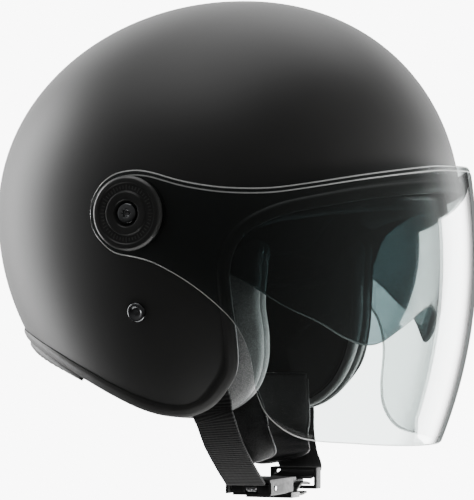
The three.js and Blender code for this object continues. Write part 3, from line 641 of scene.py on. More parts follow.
def make_trim():
    outline = [(0, 0.2), (0.3, -1.3), (2.4, -2.0), (TRIM_WIDTH - 1.6, -1.8), (TRIM_WIDTH, -0.5),
               (TRIM_WIDTH - 0.2, -0.05), (SHELL_EDGE - 0.3, -0.05),
               (SHELL_EDGE - 0.3, SHELL_THICKNESS + 0.05),
               (5.5, SHELL_THICKNESS + 0.05), (5.3, 6.2), (1.2, 6.6), (0.1, 5.4)]
    shape = sweep_edge(soften(outline, 0.9, 4))
    mesh_piece("edge_trim_bead", shape, "helmet", "edge_trim", RUBBER)


REAR_LIP_REACH = 56                 # steps of the loop to either side of the nape
REAR_LIP_RIBS = 34


def make_rear_lip():
    index = np.arange(-REAR_LIP_REACH, REAR_LIP_REACH + 1)

    def outline(t):
        swell = math.cos(t * math.pi / 2) ** 0.6 if abs(t) < 1 else 0.0
        low = -3 - 8 * swell
        rib = 0.5 * swell * (1 + math.cos(t * REAR_LIP_RIBS * math.pi))
        return soften([(-0.3, -0.9), (-0.3, 6), (low + 2, 9), (low, 6), (low + 1, 0.3 - 1.5 * swell - rib),
                       (-2.4, -1.7 - swell - rib * 0.3)], 1.2, 3)

    shape = sweep_edge(outline, index, loop=False)
    mesh_piece("ribbed_rear_lip", shape, "helmet", "rear_lip", RUBBER)


def lens_ellipsoid(directions, inset):
    """Where rays from the origin leave the sun visor's swept surface, inset by some millimetres."""
    def outside(p):
        x = np.abs(p[..., 0]) / (LENS_HALF_WIDTH - inset)
        r = np.hypot(-p[..., 1] - LENS_FORWARD, p[..., 2] - LENS_UP) / (LENS_RADIUS - inset)
        return x ** PLAN_POWER + r ** PLAN_POWER > 1

    return surface_point(unit(directions), outside, 10.0, 34)


LINER_EDGE = [
    (-REAR, -60), (-100, -58), (-70, -50), (-40, -38), (0, -35), (22, -34.5), (31, -27), (37, -14),
    (46, -2), (58, 6), (74, 13), (96, 17), (118, 19), (FRONT, 22),
]
COMFORT_EDGE = [
    (-REAR, -52), (-70, -48), (-40, -38), (-20, -35), (10, -34), (24, -31), (36, -16), (50, -2), (75, 13),
    (100, 20), (FRONT, 25),
]


def make_impact_liner():
    edge = mirrored_loop(LINER_EDGE, 240)
    points, faces = dome_wall(edge, LINER_OUTSIDE, LINER_INSIDE, 40)
    radius = np.linalg.norm(points, axis=1)
    swept = lens_ellipsoid(points, 4.5)
    limit = np.linalg.norm(swept, axis=1)
    forward, up = -points[:, 1] - LENS_FORWARD, points[:, 2] - LENS_UP
    turn = np.degrees(np.arctan2(up, forward))
    pocket = (turn > -62) & (turn < 90) & (radius > limit)
    points[pocket] = swept[pocket]
    mesh_piece("foam_liner", (points, faces), "helmet", "impact_liner", FOAM)


# ---------- visor ----------
VISOR_TOP = (142.6, 30.0)
VISOR_BOTTOM = (127.5, -134.5)
VISOR_BULGE = 11.5
VISOR_SKIRT = 204.0


def visor_front(up):
    chord = math.hypot(VISOR_TOP[0] - VISOR_BOTTOM[0], VISOR_TOP[1] - VISOR_BOTTOM[1])
    radius = chord ** 2 / (8 * VISOR_BULGE) + VISOR_BULGE / 2
    slant = math.atan2(VISOR_TOP[0] - VISOR_BOTTOM[0], VISOR_TOP[1] - VISOR_BOTTOM[1])
    back = radius - VISOR_BULGE
    forward = (VISOR_TOP[0] + VISOR_BOTTOM[0]) / 2 - back * math.cos(slant)
    centre_up = (VISOR_TOP[1] + VISOR_BOTTOM[1]) / 2 + back * math.sin(slant)
    return forward + np.sqrt(radius ** 2 - (np.asarray(up, float) - centre_up) ** 2)


def on_visor(side, forward, up, depth=0.0):
    front = visor_front(up)
    width = VISOR_HALF_WIDTH * np.sqrt(1 - (np.minimum(up, 0) / VISOR_SKIRT) ** 2)
    share = np.clip(np.maximum(forward, 0) / front, 0, 1)
    x = side * width * (1 - share ** PLAN_POWER) ** (1 / PLAN_POWER)
    p = np.stack([x, -forward, up], -1)
    n = unit(np.stack([side * (np.abs(x) / width) ** (PLAN_POWER - 1) / width,
                       -share ** (PLAN_POWER - 1) / front, np.zeros_like(x)], -1))
    return p - n * np.asarray(depth)[..., None]


VISOR_TOP_EDGE = [
    (PIVOT_FORWARD - VISOR_END_RADIUS, 0), (-33.6, 8), (-28.5, 16.5), (-20.5, 22.4), (-10, 24.8), (0, 24.3),
    (21, 18.9), (36, 16.2), (50, 14.8), (71, 14.8), (90, 17.4), (117, 22.8), (132, 26), (143, 28.8),
]
VISOR_LOW_EDGE = [
    (PIVOT_FORWARD - VISOR_END_RADIUS, 0), (-33.6, -8), (-28.5, -16), (-20, -22.6), (-8, -25.2),
    (2.4, -27.8), (22, -37.8), (39.8, -51.6), (50.7, -64.4), (56.4, -80), (58.1, -104.2), (62.3, -116.7),
    (75.2, -128.2), (104.6, -132.8), (127, -135.2),
]


def visor_columns(count):
    """Top and bottom points of the columns from the pivot to the middle of the front."""
    tops = catmull(VISOR_TOP_EDGE, 400)
    lows = catmull(VISOR_LOW_EDGE, 400)

    def spaced(line):
        share = line[:, 0] / visor_front(line[:, 1])
        line = line[: int(np.argmax(share >= 0.985)) or len(line)]
        tip_up = line[-1, 1] + (line[-1, 1] - line[-2, 1]) * 1.5
        tip = np.arange(0.985, 1, 0.0005)
        ups = line[-1, 1] + (tip_up - line[-1, 1]) * (tip - 0.985) / 0.015
        line = np.concatenate([line, np.stack([visor_front(ups) * tip, ups], -1)])
        p = on_visor(1, line[:, 0], line[:, 1])
        p = np.concatenate([p, [at(0, float(visor_front(tip_up)), tip_up)]])
        return respace(p, count)

    return spaced(tops), spaced(lows)


EDGE_BAND = 0.8                     # width of the rounded, light-gathering rim of a sheet


def visor_profile(rows, height):
    """Heights (0 at the bottom edge, 1 at the top) and how deep the surface lies there."""
    height = max(height, 12)
    band, step = EDGE_BAND / height, 3.4 / height
    t = np.concatenate([[0, band], np.linspace(band * 1.4, 1 - step * 1.25, rows),
                        [1 - step, 1 - step + band, 1 - band, 1.0]])
    depth = np.concatenate([[0.7, 0.1], np.zeros(rows), [0.0, 0.55, 0.6, 1.0]])
    return t, depth


def make_sheet(name, rings, body, material, edge_material, lines=()):
    """A clear sheet; its rim and the bands that lie some lines below its top edge gather light."""
    piece = mesh_piece(name, strip_mesh(rings), body, body, material)
    piece.data.materials.append(edge_material)
    row_count = len(rings[0])
    top = row_count // 2 - 1
    bands = {0, top, row_count - 1, *(top - line for line in lines)}
    for index, face in enumerate(piece.data.polygons):
        column, row = divmod(index, row_count)
        if column >= len(rings) - 1 or row in bands:
            face.material_index = 1


def make_visor():
    count, rows = 110, 40
    tops, lows = visor_columns(count)
    rings = []
    columns = [(-1, i) for i in range(1, count)] + [(1, i) for i in range(count - 2, 0, -1)]
    for side, i in columns:
        top, low = tops[i], lows[i]
        height = np.linalg.norm(top - low)
        t, depth = visor_profile(rows, height)
        forward = -(low[1] + (top[1] - low[1]) * t)
        up = low[2] + (top[2] - low[2]) * t
        if forward.min() > 20:
            ends = [(-p[1] / float(visor_front(p[2]))) ** (PLAN_POWER / 2) for p in (low, top)]
            start, end = [math.asin(min(1, share)) for share in ends]
            forward = visor_front(up) * np.sin(start + (end - start) * t) ** (2 / PLAN_POWER)
        keep = min(1.0, i / 16)
        outer = on_visor(side, forward, up, depth * keep)
        inner = on_visor(side, forward, up, np.full_like(t, VISOR_THICKNESS))
        rings.append(np.concatenate([outer, inner[::-1]]))
    make_sheet("visor_sheet", rings, "visor", CLEAR, CLEAR_EDGE, lines=(1, 3))


# ---------- sun visor ----------
LENS_EDGE = [
    (0, -16.3), (12, -18), (20, -20.5), (30, -24.2), (40, -28.7), (50, -30.7), (64, -30.7), (79, -28.9),
    (94, -28), (101, -25.6), (110, -22),
]


def make_sun_visor():
    edge = catmull(LENS_EDGE, 300)
    columns, rows = 90, 26
    rings = []
    for i in range(-columns, columns + 1):
        x = 109.4 * math.sin(i / columns * math.pi / 2)
        low = np.interp(abs(x), edge[:, 0], edge[:, 1])
        high = 26 - 12 * (abs(x) / LENS_HALF_WIDTH) ** 2
        t = np.concatenate([[0], np.linspace(0.012, 0.988, rows), [1]])
        turn = np.radians(low + (high - low) * t)
        rounding = np.where((t == 0) | (t == 1), 0.6, 0.0)
        ring = []
        for inset, flip in ((0.0, 1), (LENS_THICKNESS, -1)):
            depth = inset + rounding * flip
            scale = (LENS_HALF_WIDTH - inset) / LENS_HALF_WIDTH
            share = 1 - (abs(x * scale) / (LENS_HALF_WIDTH - inset)) ** PLAN_POWER
            radius = (LENS_RADIUS - depth) * max(share, 0) ** (1 / PLAN_POWER)
            side = np.stack([np.full_like(t, x * scale), -(LENS_FORWARD + radius * np.cos(turn)),
                             LENS_UP + radius * np.sin(turn)], -1)
            ring.append(side if flip > 0 else side[::-1])
        rings.append(np.concatenate(ring))
    make_sheet("sun_visor_lens", rings, "sun_visor", SMOKE, SMOKE_EDGE)


# ---------- linings and padded pieces ----------
def make_comfort_liner():
    edge = mirrored_loop(COMFORT_EDGE, 260)
    points, faces = dome_wall(edge, COMFORT_OUTSIDE + 0.4, COMFORT_INSIDE, 44, rim=2.2)
    d = unit(points)
    inside = np.linalg.norm(points, axis=1) < np.linalg.norm(dome(d, COMFORT_OUTSIDE + 3), axis=1)
    groove = np.abs(np.abs(points[:, 0]) - 34 - 0.12 * np.abs(points[:, 1]))
    sink = 2.0 * np.exp(-(groove / 2.2) ** 2) - 0.9 * np.cos(points[:, 1] / 16) ** 2
    points[inside] += d[inside] * np.clip(sink, -0.9, 2.0)[inside, None]
    piece = mesh_piece("comfort_lining", (points, faces), "helmet", "comfort_liner", LINING)


PUFF_FRAMES = 20


def inflate(piece, pressure, limit):
    """Puffs a closed cover with a short cloth simulation and keeps the end shape."""
    scene = bpy.context.scene
    scene.use_gravity = False
    cloth = piece.modifiers.new("cover", "CLOTH")
    cloth.settings.use_pressure = True
    cloth.settings.uniform_pressure_force = pressure
    cloth.settings.tension_stiffness = 12
    cloth.settings.compression_stiffness = 10
    cloth.settings.bending_stiffness = 0.6
    cloth.settings.effector_weights.gravity = 0
    cloth.settings.quality = 5
    cloth.point_cache.frame_start = 1
    cloth.point_cache.frame_end = PUFF_FRAMES
    if piece.vertex_groups:
        cloth.settings.vertex_group_mass = piece.vertex_groups[0].name
    rest = np.array([v.co for v in piece.data.vertices])
    for frame_number in range(1, PUFF_FRAMES + 1):
        scene.frame_set(frame_number)
    puffed = piece.evaluated_get(bpy.context.evaluated_depsgraph_get())
    step = np.array([v.co for v in puffed.data.vertices]) - rest
    piece.modifiers.clear()
    size = np.linalg.norm(step, axis=1, keepdims=True)
    kept = rest + step * np.minimum(1, limit * MM / np.maximum(size, 1e-9))
    piece.data.vertices.foreach_set("co", kept.ravel())
    piece.data.update()
    scene.frame_set(1)


CHEEK_PAD = [
    (-44, -52), (-30, -41), (0, -39), (22, -38.5), (33, -35), (41, -27), (46, -18), (51, -14.5), (55.5, -18),
    (55, -32), (54, -50), (54.5, -70), (51.5, -88), (43, -104), (28, -115), (8, -118.5), (-14, -115),
    (-36, -104), (-46, -88), (-47, -68),
]
CHEEK_CENTRE = (3, -78)
# (share of the outline, depth): round from the shell's side, two rolls on the rim, then the inner face
CHEEK_ROWS = [
    (0.3, 13.4), (0.6, 13.2), (0.84, 13.4), (0.93, 13.8), (0.97, 14.6), (0.992, 16.2), (1.0, 18.2),
    (0.996, 20.4), (0.975, 22.2), (0.945, 23.1), (0.915, 23.6), (0.945, 24.1), (0.972, 25.0), (0.985, 26.8),
    (0.985, 29.2), (0.972, 31.6), (0.945, 33.4), (0.91, 34.4), (0.885, 34.2), (0.868, 33.4), (0.85, 34.4),
    (0.80, 35.4), (0.66, 37.0), (0.45, 38.0), (0.22, 38.6),
]
FIRST_LINED_ROW = 19                # from here on the cushion is covered in lining, not leatherette
SEWN_ROWS = (0, 10, 19)


def cheek_surface(side, share, depth, outline):
    """Points round a cheek pad: a share of its outline at a depth below the shell."""
    centre = np.array(CHEEK_CENTRE, float)
    flat = centre + (outline - centre) * np.asarray(share, float).reshape(-1, 1)
    return beside(side, flat[:, 0], flat[:, 1], depth + 0.15 * np.maximum(flat[:, 1] + 55, 0))


def make_cheek_pad(name, side):
    outline = catmull(CHEEK_PAD, 220, closed=True)
    rings = [cheek_surface(side, share, depth, outline) for share, depth in CHEEK_ROWS]
    first = beside(side, CHEEK_CENTRE[0], CHEEK_CENTRE[1], 13.4)
    last = beside(side, CHEEK_CENTRE[0], CHEEK_CENTRE[1], 38.8)
    shape = rings_mesh(rings, first=first, last=last)
    piece = mesh_piece(f"cheek_cushion_{name}", shape, "helmet", f"cheek_pad_{name}", LEATHER_PAINTED_LIGHT)
    count = len(outline)
    shell_middle = len(rings) * count
    head_middle = shell_middle + 1
    piece.data.materials.append(LINING)
    for face in piece.data.polygons:
        lined = min(face.vertices) >= FIRST_LINED_ROW * count and len(face.vertices) == 4
        face.material_index = 1 if lined or head_middle in face.vertices else 0
    group = piece.vertex_groups.new(name="sewn")
    for row in SEWN_ROWS:
        group.add(list(range(row * count, (row + 1) * count)), 1.0, "REPLACE")
    group.add([shell_middle], 1.0, "REPLACE")
    inflate(piece, 3.0, 2.2)
    make_piping(f"cheek_piping_{name}", cheek_surface(side, 0.925, 23.6, outline), 0.8, SEAM)
    make_piping(f"cheek_seam_{name}", cheek_surface(side, 0.872, 34.2, outline), 0.8, SEAM)


def make_piping(name, line, radius, material, body="helmet", closed=True):
    """A sewn round cord along a line of points."""
    line = np.asarray(line, float)
    along = np.roll(line, -1, 0) - np.roll(line, 1, 0)
    if not closed:
        along[0], along[-1] = line[1] - line[0], line[-1] - line[-2]
    along = unit(along)
    outward = unit(line - np.array([0, 0, line[:, 2].mean() * 0.2]))
    a = unit(np.cross(along, outward))
    b = np.cross(a, along)
    turn = full_turn(8)
    c, s = np.cos(turn)[:, None], np.sin(turn)[:, None]
    rings = [p + radius * (c * u + s * v) for p, u, v in zip(line, a, b)]
    mesh_piece(name, rings_mesh(rings, loop=closed), body, None, material)


def make_edge_roll(name, node, outline, index, limit):
    """A padded roll along part of the opening, puffed by at most limit."""
    shape = sweep_edge(outline, index, loop=False)
    piece = mesh_piece(name, shape, "helmet", node, LEATHER_PAINTED_LIGHT)
    inflate(piece, 2.0, limit)


def make_forehead_band():
    half = 64

    def outline(t):
        low = -9 + 5 * t * t
        crease = 1.3 * math.exp(-((abs(t) - 0.62) / 0.012) ** 2)
        return soften([(6, 15.5), (0, 14 + crease * 0.3), (low + 2 + crease, 14.5), (low + crease, 18),
                       (low + crease, 23), (low + 3 + crease, 27), (6, 29)], 2.2, 4)

    index = np.arange(-half, half + 1) + LOOP_COUNT // 2
    make_edge_roll("forehead_roll", "forehead_band", outline, index, 1.2)


def make_neck_roll():
    half = 48

    def outline(t):
        low = 3 - 6 * (1 - t * t)
        return soften([(9, 8.2), (2, 7.8), (low, 12), (low - 1, 20), (low + 1, 28), (9, 30.6)], 2.4, 4)

    make_edge_roll("neck_curtain_roll", "neck_roll", outline, np.arange(-half, half + 1), 1.4)


# ---------- visor pivots and rivets ----------
# how far out from the middle the pivot's pieces stand
SEAT_OUT = 120.4
WASHER_OUT = 126.5
CAP_OUT = 127.5
CAP_PROFILE = [
    (2.9, 0), (21.5, 0), (21.5, 1.5), (20.2, 3.2), (17.8, 3.6), (17.2, 3.0), (12.8, 3.0), (12.2, 4.3),
    (7.8, 4.0), (6.6, 1.4), (2.9, 1.4),
]
SEAT_PROFILE = [(2.9, 0), (20, 0), (20, 2.5), (8.8, 2.5), (8.8, 5.9), (2.9, 5.9)]
TICK_COUNT = 48
TICK_RING = 15.0


def make_pivots():
    ticks = []
    for k in range(TICK_COUNT):
        turn = 2 * math.pi * k / TICK_COUNT
        long = 1.5 if k % 4 == 0 else 0.9
        spot = np.array([TICK_RING * math.cos(turn), TICK_RING * math.sin(turn), 3.05])
        ticks.append(block(spot, (long, 0.32, 0.22), turn))
    ring_of_ticks = merged(ticks)
    for name, side in SIDES:
        where = side_frame(side, CAP_OUT, PIVOT_FORWARD, 0)
        cap = placed(ring_lathe(soften(CAP_PROFILE, 0.55, 4), 144), where)
        mesh_piece(f"pivot_cap_{name}", cap, "helmet", f"pivot_cover_{name}", PLASTIC)
        marks = placed(ring_of_ticks, where)
        mesh_piece(f"pivot_ticks_{name}", marks, "helmet", None, TICK, smooth=False)
        screw = placed(lobed_screw(5.9, 3.4, 2.6), where)
        mesh_piece(f"pivot_bolt_{name}", screw, "helmet", f"pivot_screw_{name}", DARK_CHROME)


def block(spot, half, turn):
    """A small bevel-free block: corners of a box turned about +Z."""
    c, s = math.cos(turn), math.sin(turn)
    spin = np.array([[c, s, 0], [-s, c, 0], [0, 0, 1]])
    corners = np.array([(x, y, z) for z in (-1, 1) for x, y in ((-1, -1), (1, -1), (1, 1), (-1, 1))], float)
    points = corners * half @ spin + spot
    faces = [(3, 2, 1, 0), (4, 5, 6, 7), (0, 1, 5, 4), (1, 2, 6, 5), (2, 3, 7, 6), (3, 0, 4, 7)]
    return points, faces


def merged(parts):
    points, faces, start = [], [], 0
    for p, f in parts:
        points.append(p)
        faces += [tuple(i + start for i in face) for face in f]
        start += len(p)
    return np.concatenate(points), faces


def lobed_screw(radius, top, socket):
    """A button head with a six-lobed socket, standing on +Z, with its shank below."""
    turn = full_turn(96)

    def ring(r, h):
        return np.stack([r * np.cos(turn), r * np.sin(turn), np.full(len(turn), h)], -1)

    lobed = socket * (0.86 + 0.14 * np.cos(6 * turn))
    stem = [(2.45, -17), (2.45, 1.72), (radius - 0.2, 1.72), (radius, 1.9), (radius, 2.5)]
    rings = [ring(r, h) for r, h in stem]
    for a in np.linspace(0.15, 1, 7):
        inward = (radius - socket - 0.5) * a ** 1.6
        rings.append(ring(radius - inward, 2.5 + (top - 2.5) * math.sin(a * math.pi / 2)))
    rings += [ring(lobed + 0.25, top - 0.02), ring(lobed, top - 0.25), ring(lobed, top - 1.5)]
    return rings_mesh(rings, first=[0, 0, -17], last=[0, 0, top - 1.7])


RIVET_FORWARD = -10.0
RIVET_UP = -56.5
RIVET_PROFILE = [
    (0, -8), (2.25, -8), (2.25, 0.4), (5.6, 0.4), (5.75, 0.7), (5.7, 1.3), (5.2, 1.8), (4.5, 1.95),
    (3.7, 1.8), (3.0, 1.35), (2.2, 1.05), (1.2, 1.15), (0, 1.2),
]


def make_rivets():
    for name, side in SIDES:
        rivet = placed(lathe(RIVET_PROFILE, 72), shell_frame(side, RIVET_FORWARD, RIVET_UP))
        mesh_piece(f"dished_rivet_{name}", rivet, "helmet", f"strap_rivet_{name}",
                   DARK_CHROME)


# ---------- chin strap ----------
def strip_axes(points):
    """Unit directions across and out from a strap's middle line."""
    along = unit(np.gradient(points, axis=0))
    across = unit(LENGTHWISE - along * (along @ LENGTHWISE)[:, None])
    return across, unit(np.cross(along, across))


def ribbon_rings(route, width, thickness, count):
    """Rounded webbing sections along a route of (side, forward, up) points, their outline and lengths."""
    points = catmull([at(*p) for p in route], count + 1)
    across, out = strip_axes(points)
    half, deep = width / 2, thickness / 2
    outline = [(-half, -deep), (half, -deep), (half, deep), (-half, deep)]
    profile = np.array(list(densify(soften(outline, min(0.5, deep * 0.9), 4), width / 16)))
    rings = points[:, None] + profile[None, :, :1] * across[:, None] + profile[None, :, 1:] * out[:, None]
    return rings, profile, length_along(points)


def densify(profile, step):
    """Points along a closed outline, at most about a step apart."""
    for a, b in zip(profile, np.roll(profile, -1, 0)):
        n = max(1, int(np.linalg.norm(b - a) / step))
        for k in range(n):
            yield a + (b - a) * k / n


def make_webbing(name, route, width, thickness, body, node, count, material):
    rings, profile, run = ribbon_rings(route, width, thickness, count)
    uvs = [(across, length) for length in run for across in profile[:, 0]] + [(0, 0), (0, run[-1])]
    return mesh_piece(name, rings_mesh(rings), body, node, material, uvs=np.array(uvs))


LENGTHWISE = at(0, 1, 0)
STRAP_FORWARD = {"right": 24, "left": 3}
STRAP_EXIT_UP = -106.0
STRAP_EXIT_DEPTH = 10.3
ROUTES = {
    "right": [(-87.8, 25.2, -114.8), (-86.6, 26.4, -119), (-78, 28, -133), (-64, 29.5, -147),
              (-50, 30, -157.5)],
    "left": [(90, 3.3, -115), (88.8, 4.2, -119.5), (78, 8.5, -134), (59, 18, -145.5), (37, 29.4, -153.4),
             (22, 30, -157)],
}
# route of the sleeve's middle, from beside the cheek pad down to the buckle, and its width
SLEEVES = {
    "right": ([(-56.5, 17, -100), (-58, 22, -112), (-61.5, 27, -122), (-64, 31, -130), (-62.5, 34.5, -137),
               (-56.5, 38, -144)], 40),
    "left": ([(57.5, 7, -96), (59, 7, -108), (62.5, 6, -118), (66, 4, -128), (64, 4, -136), (52, 9, -143.5),
              (42, 15, -147.5)], 36),
}


def make_straps():
    for name, side in SIDES:
        forward = STRAP_FORWARD[name]
        route = []
        for f, u in [(-6, -69.5), (2, -82), (forward - 6, -97)]:
            p = beside(side, f, u, STRAP_EXIT_DEPTH - 0.2)
            route.append((p[0], f, u))
        low = beside(side, forward, STRAP_EXIT_UP, STRAP_EXIT_DEPTH)
        exit_point = (low[0], forward, STRAP_EXIT_UP)
        route += [exit_point, *ROUTES[name]]
        piece = make_webbing(f"webbing_{name}", route, 25, 2, None, [f"strap_top_{name}", f"strap_{name}"],
                             110, WEBBING)
        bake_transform(piece)


def rounded_wave(values, power):
    return np.sign(values) * np.abs(values) ** power


def make_sleeves():
    corner = 9.0
    turn = full_turn(44)
    flat = rounded_wave(np.cos(turn), 0.7)[None, :, None]
    thick = rounded_wave(np.sin(turn), 0.8)[None, :, None]
    for name, (route, width) in SLEEVES.items():
        points = catmull([at(*p) for p in route], 41)
        across, out = strip_axes(points)
        run = length_along(points)
        over = np.clip((run - (run[-1] - corner)) / corner, 0, 0.985)
        half = width / 2 - corner + corner * np.sqrt(1 - over ** 2)
        puff = 1.1 + 1.2 * np.sqrt(np.clip(1 - over ** 3, 0, 1))
        sideways = across * half[:, None]
        outward = out * puff[:, None]
        rings = points[:, None] + flat * sideways[:, None] + thick * outward[:, None]
        piece = mesh_piece(f"strap_sleeve_{name}", rings_mesh(rings), "chin_strap", f"strap_pad_{name}",
                           SOFT_LEATHER)
        inflate(piece, 2.0, 0.9)
        rim = np.concatenate([points - sideways, (points + sideways)[::-1]])[2:-2]
        make_piping(f"sleeve_piping_{name}", rim, 0.85, SOFT_LEATHER, "chin_strap", closed=False)


def copied(name, source, body, bevel, material):
    """A piece with the frame node's shape, its sharp edges rounded."""
    original = bpy.data.objects[source]
    piece = bpy.data.objects.new(name, original.data.copy())
    bpy.context.collection.objects.link(piece)
    piece.data.materials.clear()
    piece.data.materials.append(material)
    bpy.context.view_layer.objects.active = piece
    weld = piece.modifiers.new("weld", "WELD")
    weld.merge_threshold = 0.00001
    flat = piece.modifiers.new("flat", "DECIMATE")
    flat.decimate_type = "DISSOLVE"
    flat.angle_limit = math.radians(1)
    rounding = piece.modifiers.new("rounding", "BEVEL")
    rounding.width = bevel * MM
    rounding.segments = 3
    rounding.limit_method = "ANGLE"
    rounding.angle_limit = math.radians(30)
    finished = piece.evaluated_get(bpy.context.evaluated_depsgraph_get())
    mesh = bpy.data.meshes.new_from_object(finished)
    piece.modifiers.clear()
    piece.data = mesh
    mesh.shade_smooth()
    mesh.set_sharp_from_angle(angle=math.radians(40))
    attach(piece, body)
    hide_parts(source)


SPRING_TURNS = 4.5
SPRING_RADIUS = 2.3


def make_buckle():
    copied("buckle_channel", "buckle_frame", "chin_strap", 0.7, BUCKLE)
    copied("release_lever", "buckle_lever", "buckle_lever", 0.7, LEVER)
    copied("ratchet_blade", "ratchet_tongue", "chin_strap", 0.25, BUCKLE)
    copied("webbing_slide", "strap_slide", "chin_strap", 0.7, BUCKLE)
    loop = [(22.4, 30, -160.6), (14, 30, -159.6), (6, 30, -161.2), (1.5, 30, -164.6), (8, 30, -166.4),
            (17, 30, -165.4)]
    make_webbing("pull_loop", loop, 23, 1.4, "chin_strap", "strap_tail", 60, LIGHT_WEBBING)
    share = np.linspace(0, 1, 160)
    turn = share * SPRING_TURNS * 2 * math.pi
    coil = np.stack([-40 + SPRING_RADIUS * np.cos(turn), -27.2 - 5.6 * share,
                     -160.2 + SPRING_RADIUS * np.sin(turn)], -1)
    make_piping("return_spring", coil, 0.35, STEEL, "chin_strap", closed=False)
    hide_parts("lever_spring")
    copied("hinge_pin", "buckle_pin", "chin_strap", 0.3, STEEL)


CABLE = [(-8, -86, 6.2), (-2, -74, 6.4), (4, -62, 6.6), (6, -50, 6.7), (6, -42, 7.2), (6, -33, 7.8)]


def make_hardware():
    turns = full_turn(120)
    washer = []
    for turn, rise in zip(turns, 0.2 + 0.16 * np.cos(3 * turns)):
        outline = [(10.5, rise - 0.15), (14.5, rise - 0.15), (14.5, rise + 0.15), (10.5, rise + 0.15)]
        washer.append([(r * math.cos(turn), r * math.sin(turn), z) for r, z in outline])
    washer = rings_mesh(washer, loop=True)
    seat = ring_lathe(soften(SEAT_PROFILE, 0.5, 3), 96)
    for name, side in SIDES:
        shape = placed(seat, side_frame(side, SEAT_OUT, PIVOT_FORWARD, 0))
        mesh_piece(f"pivot_seat_{name}", shape, "helmet", f"pivot_base_{name}", PLASTIC)
        shape = placed(washer, side_frame(side, WASHER_OUT, PIVOT_FORWARD, 0))
        mesh_piece(f"spring_washer_{name}", shape, "helmet", f"wave_washer_{name}", STEEL)
        copied(f"anchor_plate_{name}", f"strap_anchor_{name}", "helmet", 0.4, STEEL)
        copied(f"lock_nut_{name}", f"pivot_nut_{name}", "helmet", 0.4, STEEL)
        copied(f"lens_pin_{name}", f"sun_visor_pin_{name}", "helmet", 0.5, PLASTIC)
    route = catmull([beside(1, *spot) for spot in CABLE], 80)
    make_piping("cable_sheath", route, 1.2, RUBBER, closed=False)
    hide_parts("sun_visor_cable")
    copied("slider_plate", "slider_track", "helmet", 0.5, PLASTIC)
    copied("slider_button", "slider_knob", "slider_knob", 0.35, PLASTIC)


# ---------- camera, light and floor ----------
VIEW_AZIMUTH = math.radians(-67)
VIEW_DISTANCE = 2.5
PIXELS_PER_MM = 1.673                # at the origin's distance
FRAME_LONG_SIDE = 500
SENSOR = 36.0
WORLD_STRENGTH = 2.2
BACKDROP_STRENGTH = 9.0
FLOOR_DROP = 1.4


def view_space(right, back, up):
    """A place given from the camera's point of view: to its right, towards it, up."""
    b = Vector((math.sin(VIEW_AZIMUTH), -math.cos(VIEW_AZIMUTH), 0))
    r = Vector((math.cos(VIEW_AZIMUTH), math.sin(VIEW_AZIMUTH), 0))
    return r * right + b * back + Vector((0, 0, up))


def make_camera():
    data = bpy.data.cameras.new("camera")
    data.sensor_width = SENSOR
    focal = PIXELS_PER_MM * VIEW_DISTANCE * 1000
    data.lens = focal * SENSOR / FRAME_LONG_SIDE
    camera = bpy.data.objects.new("camera", data)
    camera.location = view_space(0.003, VIEW_DISTANCE, -0.0209)
    camera.rotation_euler = view_space(0, -1, 0).to_track_quat("-Z", "Y").to_euler()
    bpy.context.collection.objects.link(camera)
    bpy.context.scene.camera = camera


def area(name, place, aim_up, size, power, mirrored=True):
    """A rectangular light in view space, aimed at a height above the origin."""
    data = bpy.data.lights.new(name, "AREA")
    data.shape = "RECTANGLE"
    data.size, data.size_y = size
    data.energy = power
    lamp = bpy.data.objects.new(name, data)
    lamp.location = view_space(*place)
    lamp.rotation_euler = (Vector((0, 0, aim_up)) - lamp.location).to_track_quat("-Z", "Y").to_euler()
    lamp.visible_glossy = mirrored
    bpy.context.collection.objects.link(lamp)


def make_lights():
    area("rear_softbox", (-1.55, -0.85, 0.1), 0, (1.0, 1.9), 42)
    area("top_softbox", (-0.1, -0.1, 1.7), 0, (3.0, 1.4), 24)
    area("brow_strip", (1.7, 0.3, 0.72), 0, (1.6, 0.24), 1.2)
    area("visor_panel", (1.49, -1.18, -0.39), -0.06, (1.5, 1.14), 90)
    # these two light the pads and are kept out of the visor's reflections
    area("opening_fill", (1.75, 0.3, -0.75), -0.05, (0.8, 0.8), 135, mirrored=False)
    area("fill", (1.2, 2.2, -0.6), 0, (1.2, 1.2), 18, mirrored=False)


def facing_share(tree, where, aim, gain, offset):
    """How far a world direction points along aim, scaled and shifted."""
    along = node(tree, "ShaderNodeVectorMath", {0: where}, operation="DOT_PRODUCT")
    along.inputs[1].default_value = aim
    return math_node(tree, "MULTIPLY_ADD", along.outputs["Value"], gain, offset)


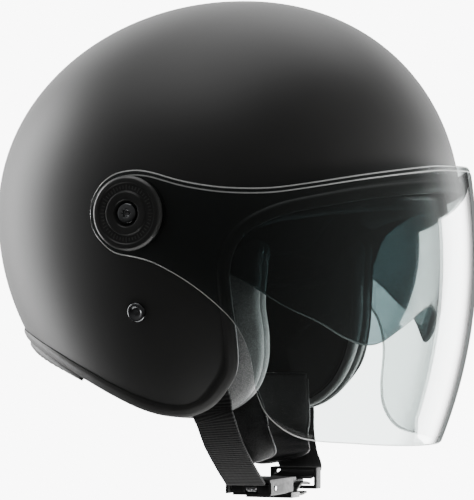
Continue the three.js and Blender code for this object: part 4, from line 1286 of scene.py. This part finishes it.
def make_world():
    """White behind the helmet; the light on it is brightest from behind and the left, and dim from below."""
    world = bpy.data.worlds.new("studio")
    world.use_nodes = True
    tree = world.node_tree
    tree.nodes.clear()
    where = coords(tree, "Generated")
    behind = facing_share(tree, where, view_space(0, -1, 0), 0.5, 0.5)
    glow = ramp(tree, behind, [(0.0, 0.045), (0.42, 0.06), (0.7, 0.3), (0.88, 1.0)])
    leftward = facing_share(tree, where, view_space(-1, 0, 0.25), 0.45, 1.0)
    height = node(tree, "ShaderNodeSeparateXYZ", {"Vector": where}).outputs[2]
    fade = {"From Min": -0.6, "From Max": 0.1, "To Min": 0.2}
    upward = node(tree, "ShaderNodeMapRange", {"Value": height}, **fade)
    power = math_node(tree, "MULTIPLY", math_node(tree, "MULTIPLY", glow, leftward), upward)
    strength = math_node(tree, "MULTIPLY", power, WORLD_STRENGTH)
    seen = node(tree, "ShaderNodeBackground", Color=(1, 1, 1, 1), Strength=BACKDROP_STRENGTH)
    lit = node(tree, "ShaderNodeBackground", {"Strength": strength}, Color=(1, 1, 1, 1))
    seen_directly = node(tree, "ShaderNodeLightPath").outputs["Is Camera Ray"]
    mixed = node(tree, "ShaderNodeMixShader", {0: seen_directly, 1: lit, 2: seen})
    node(tree, "ShaderNodeOutputWorld", {"Surface": mixed})
    bpy.context.scene.world = world


def make_floor():
    below = (0, 0, -FLOOR_DROP)
    bpy.ops.mesh.primitive_circle_add(vertices=96, radius=1.0, fill_type="NGON", location=below)
    floor = bpy.context.object
    floor.name = "floor"
    material, tree, place = blank_material("pale_floor")
    broad = noise(tree, place, 6.0, 3.0)
    tint = ramp(tree, broad, [(0.3, (0.80, 0.80, 0.79)), (0.7, (0.83, 0.83, 0.82))])
    floor.data.materials.append(solid(material, tint, None, None, Roughness=0.7))


make_camera()
make_lights()
make_world()
make_floor()
make_shell()
make_trim()
make_rear_lip()
make_impact_liner()
make_comfort_liner()
make_forehead_band()
make_neck_roll()
for name, side in SIDES:
    make_cheek_pad(name, side)
make_visor()
make_sun_visor()
make_pivots()
make_rivets()
make_straps()
make_sleeves()
make_buckle()
make_hardware()
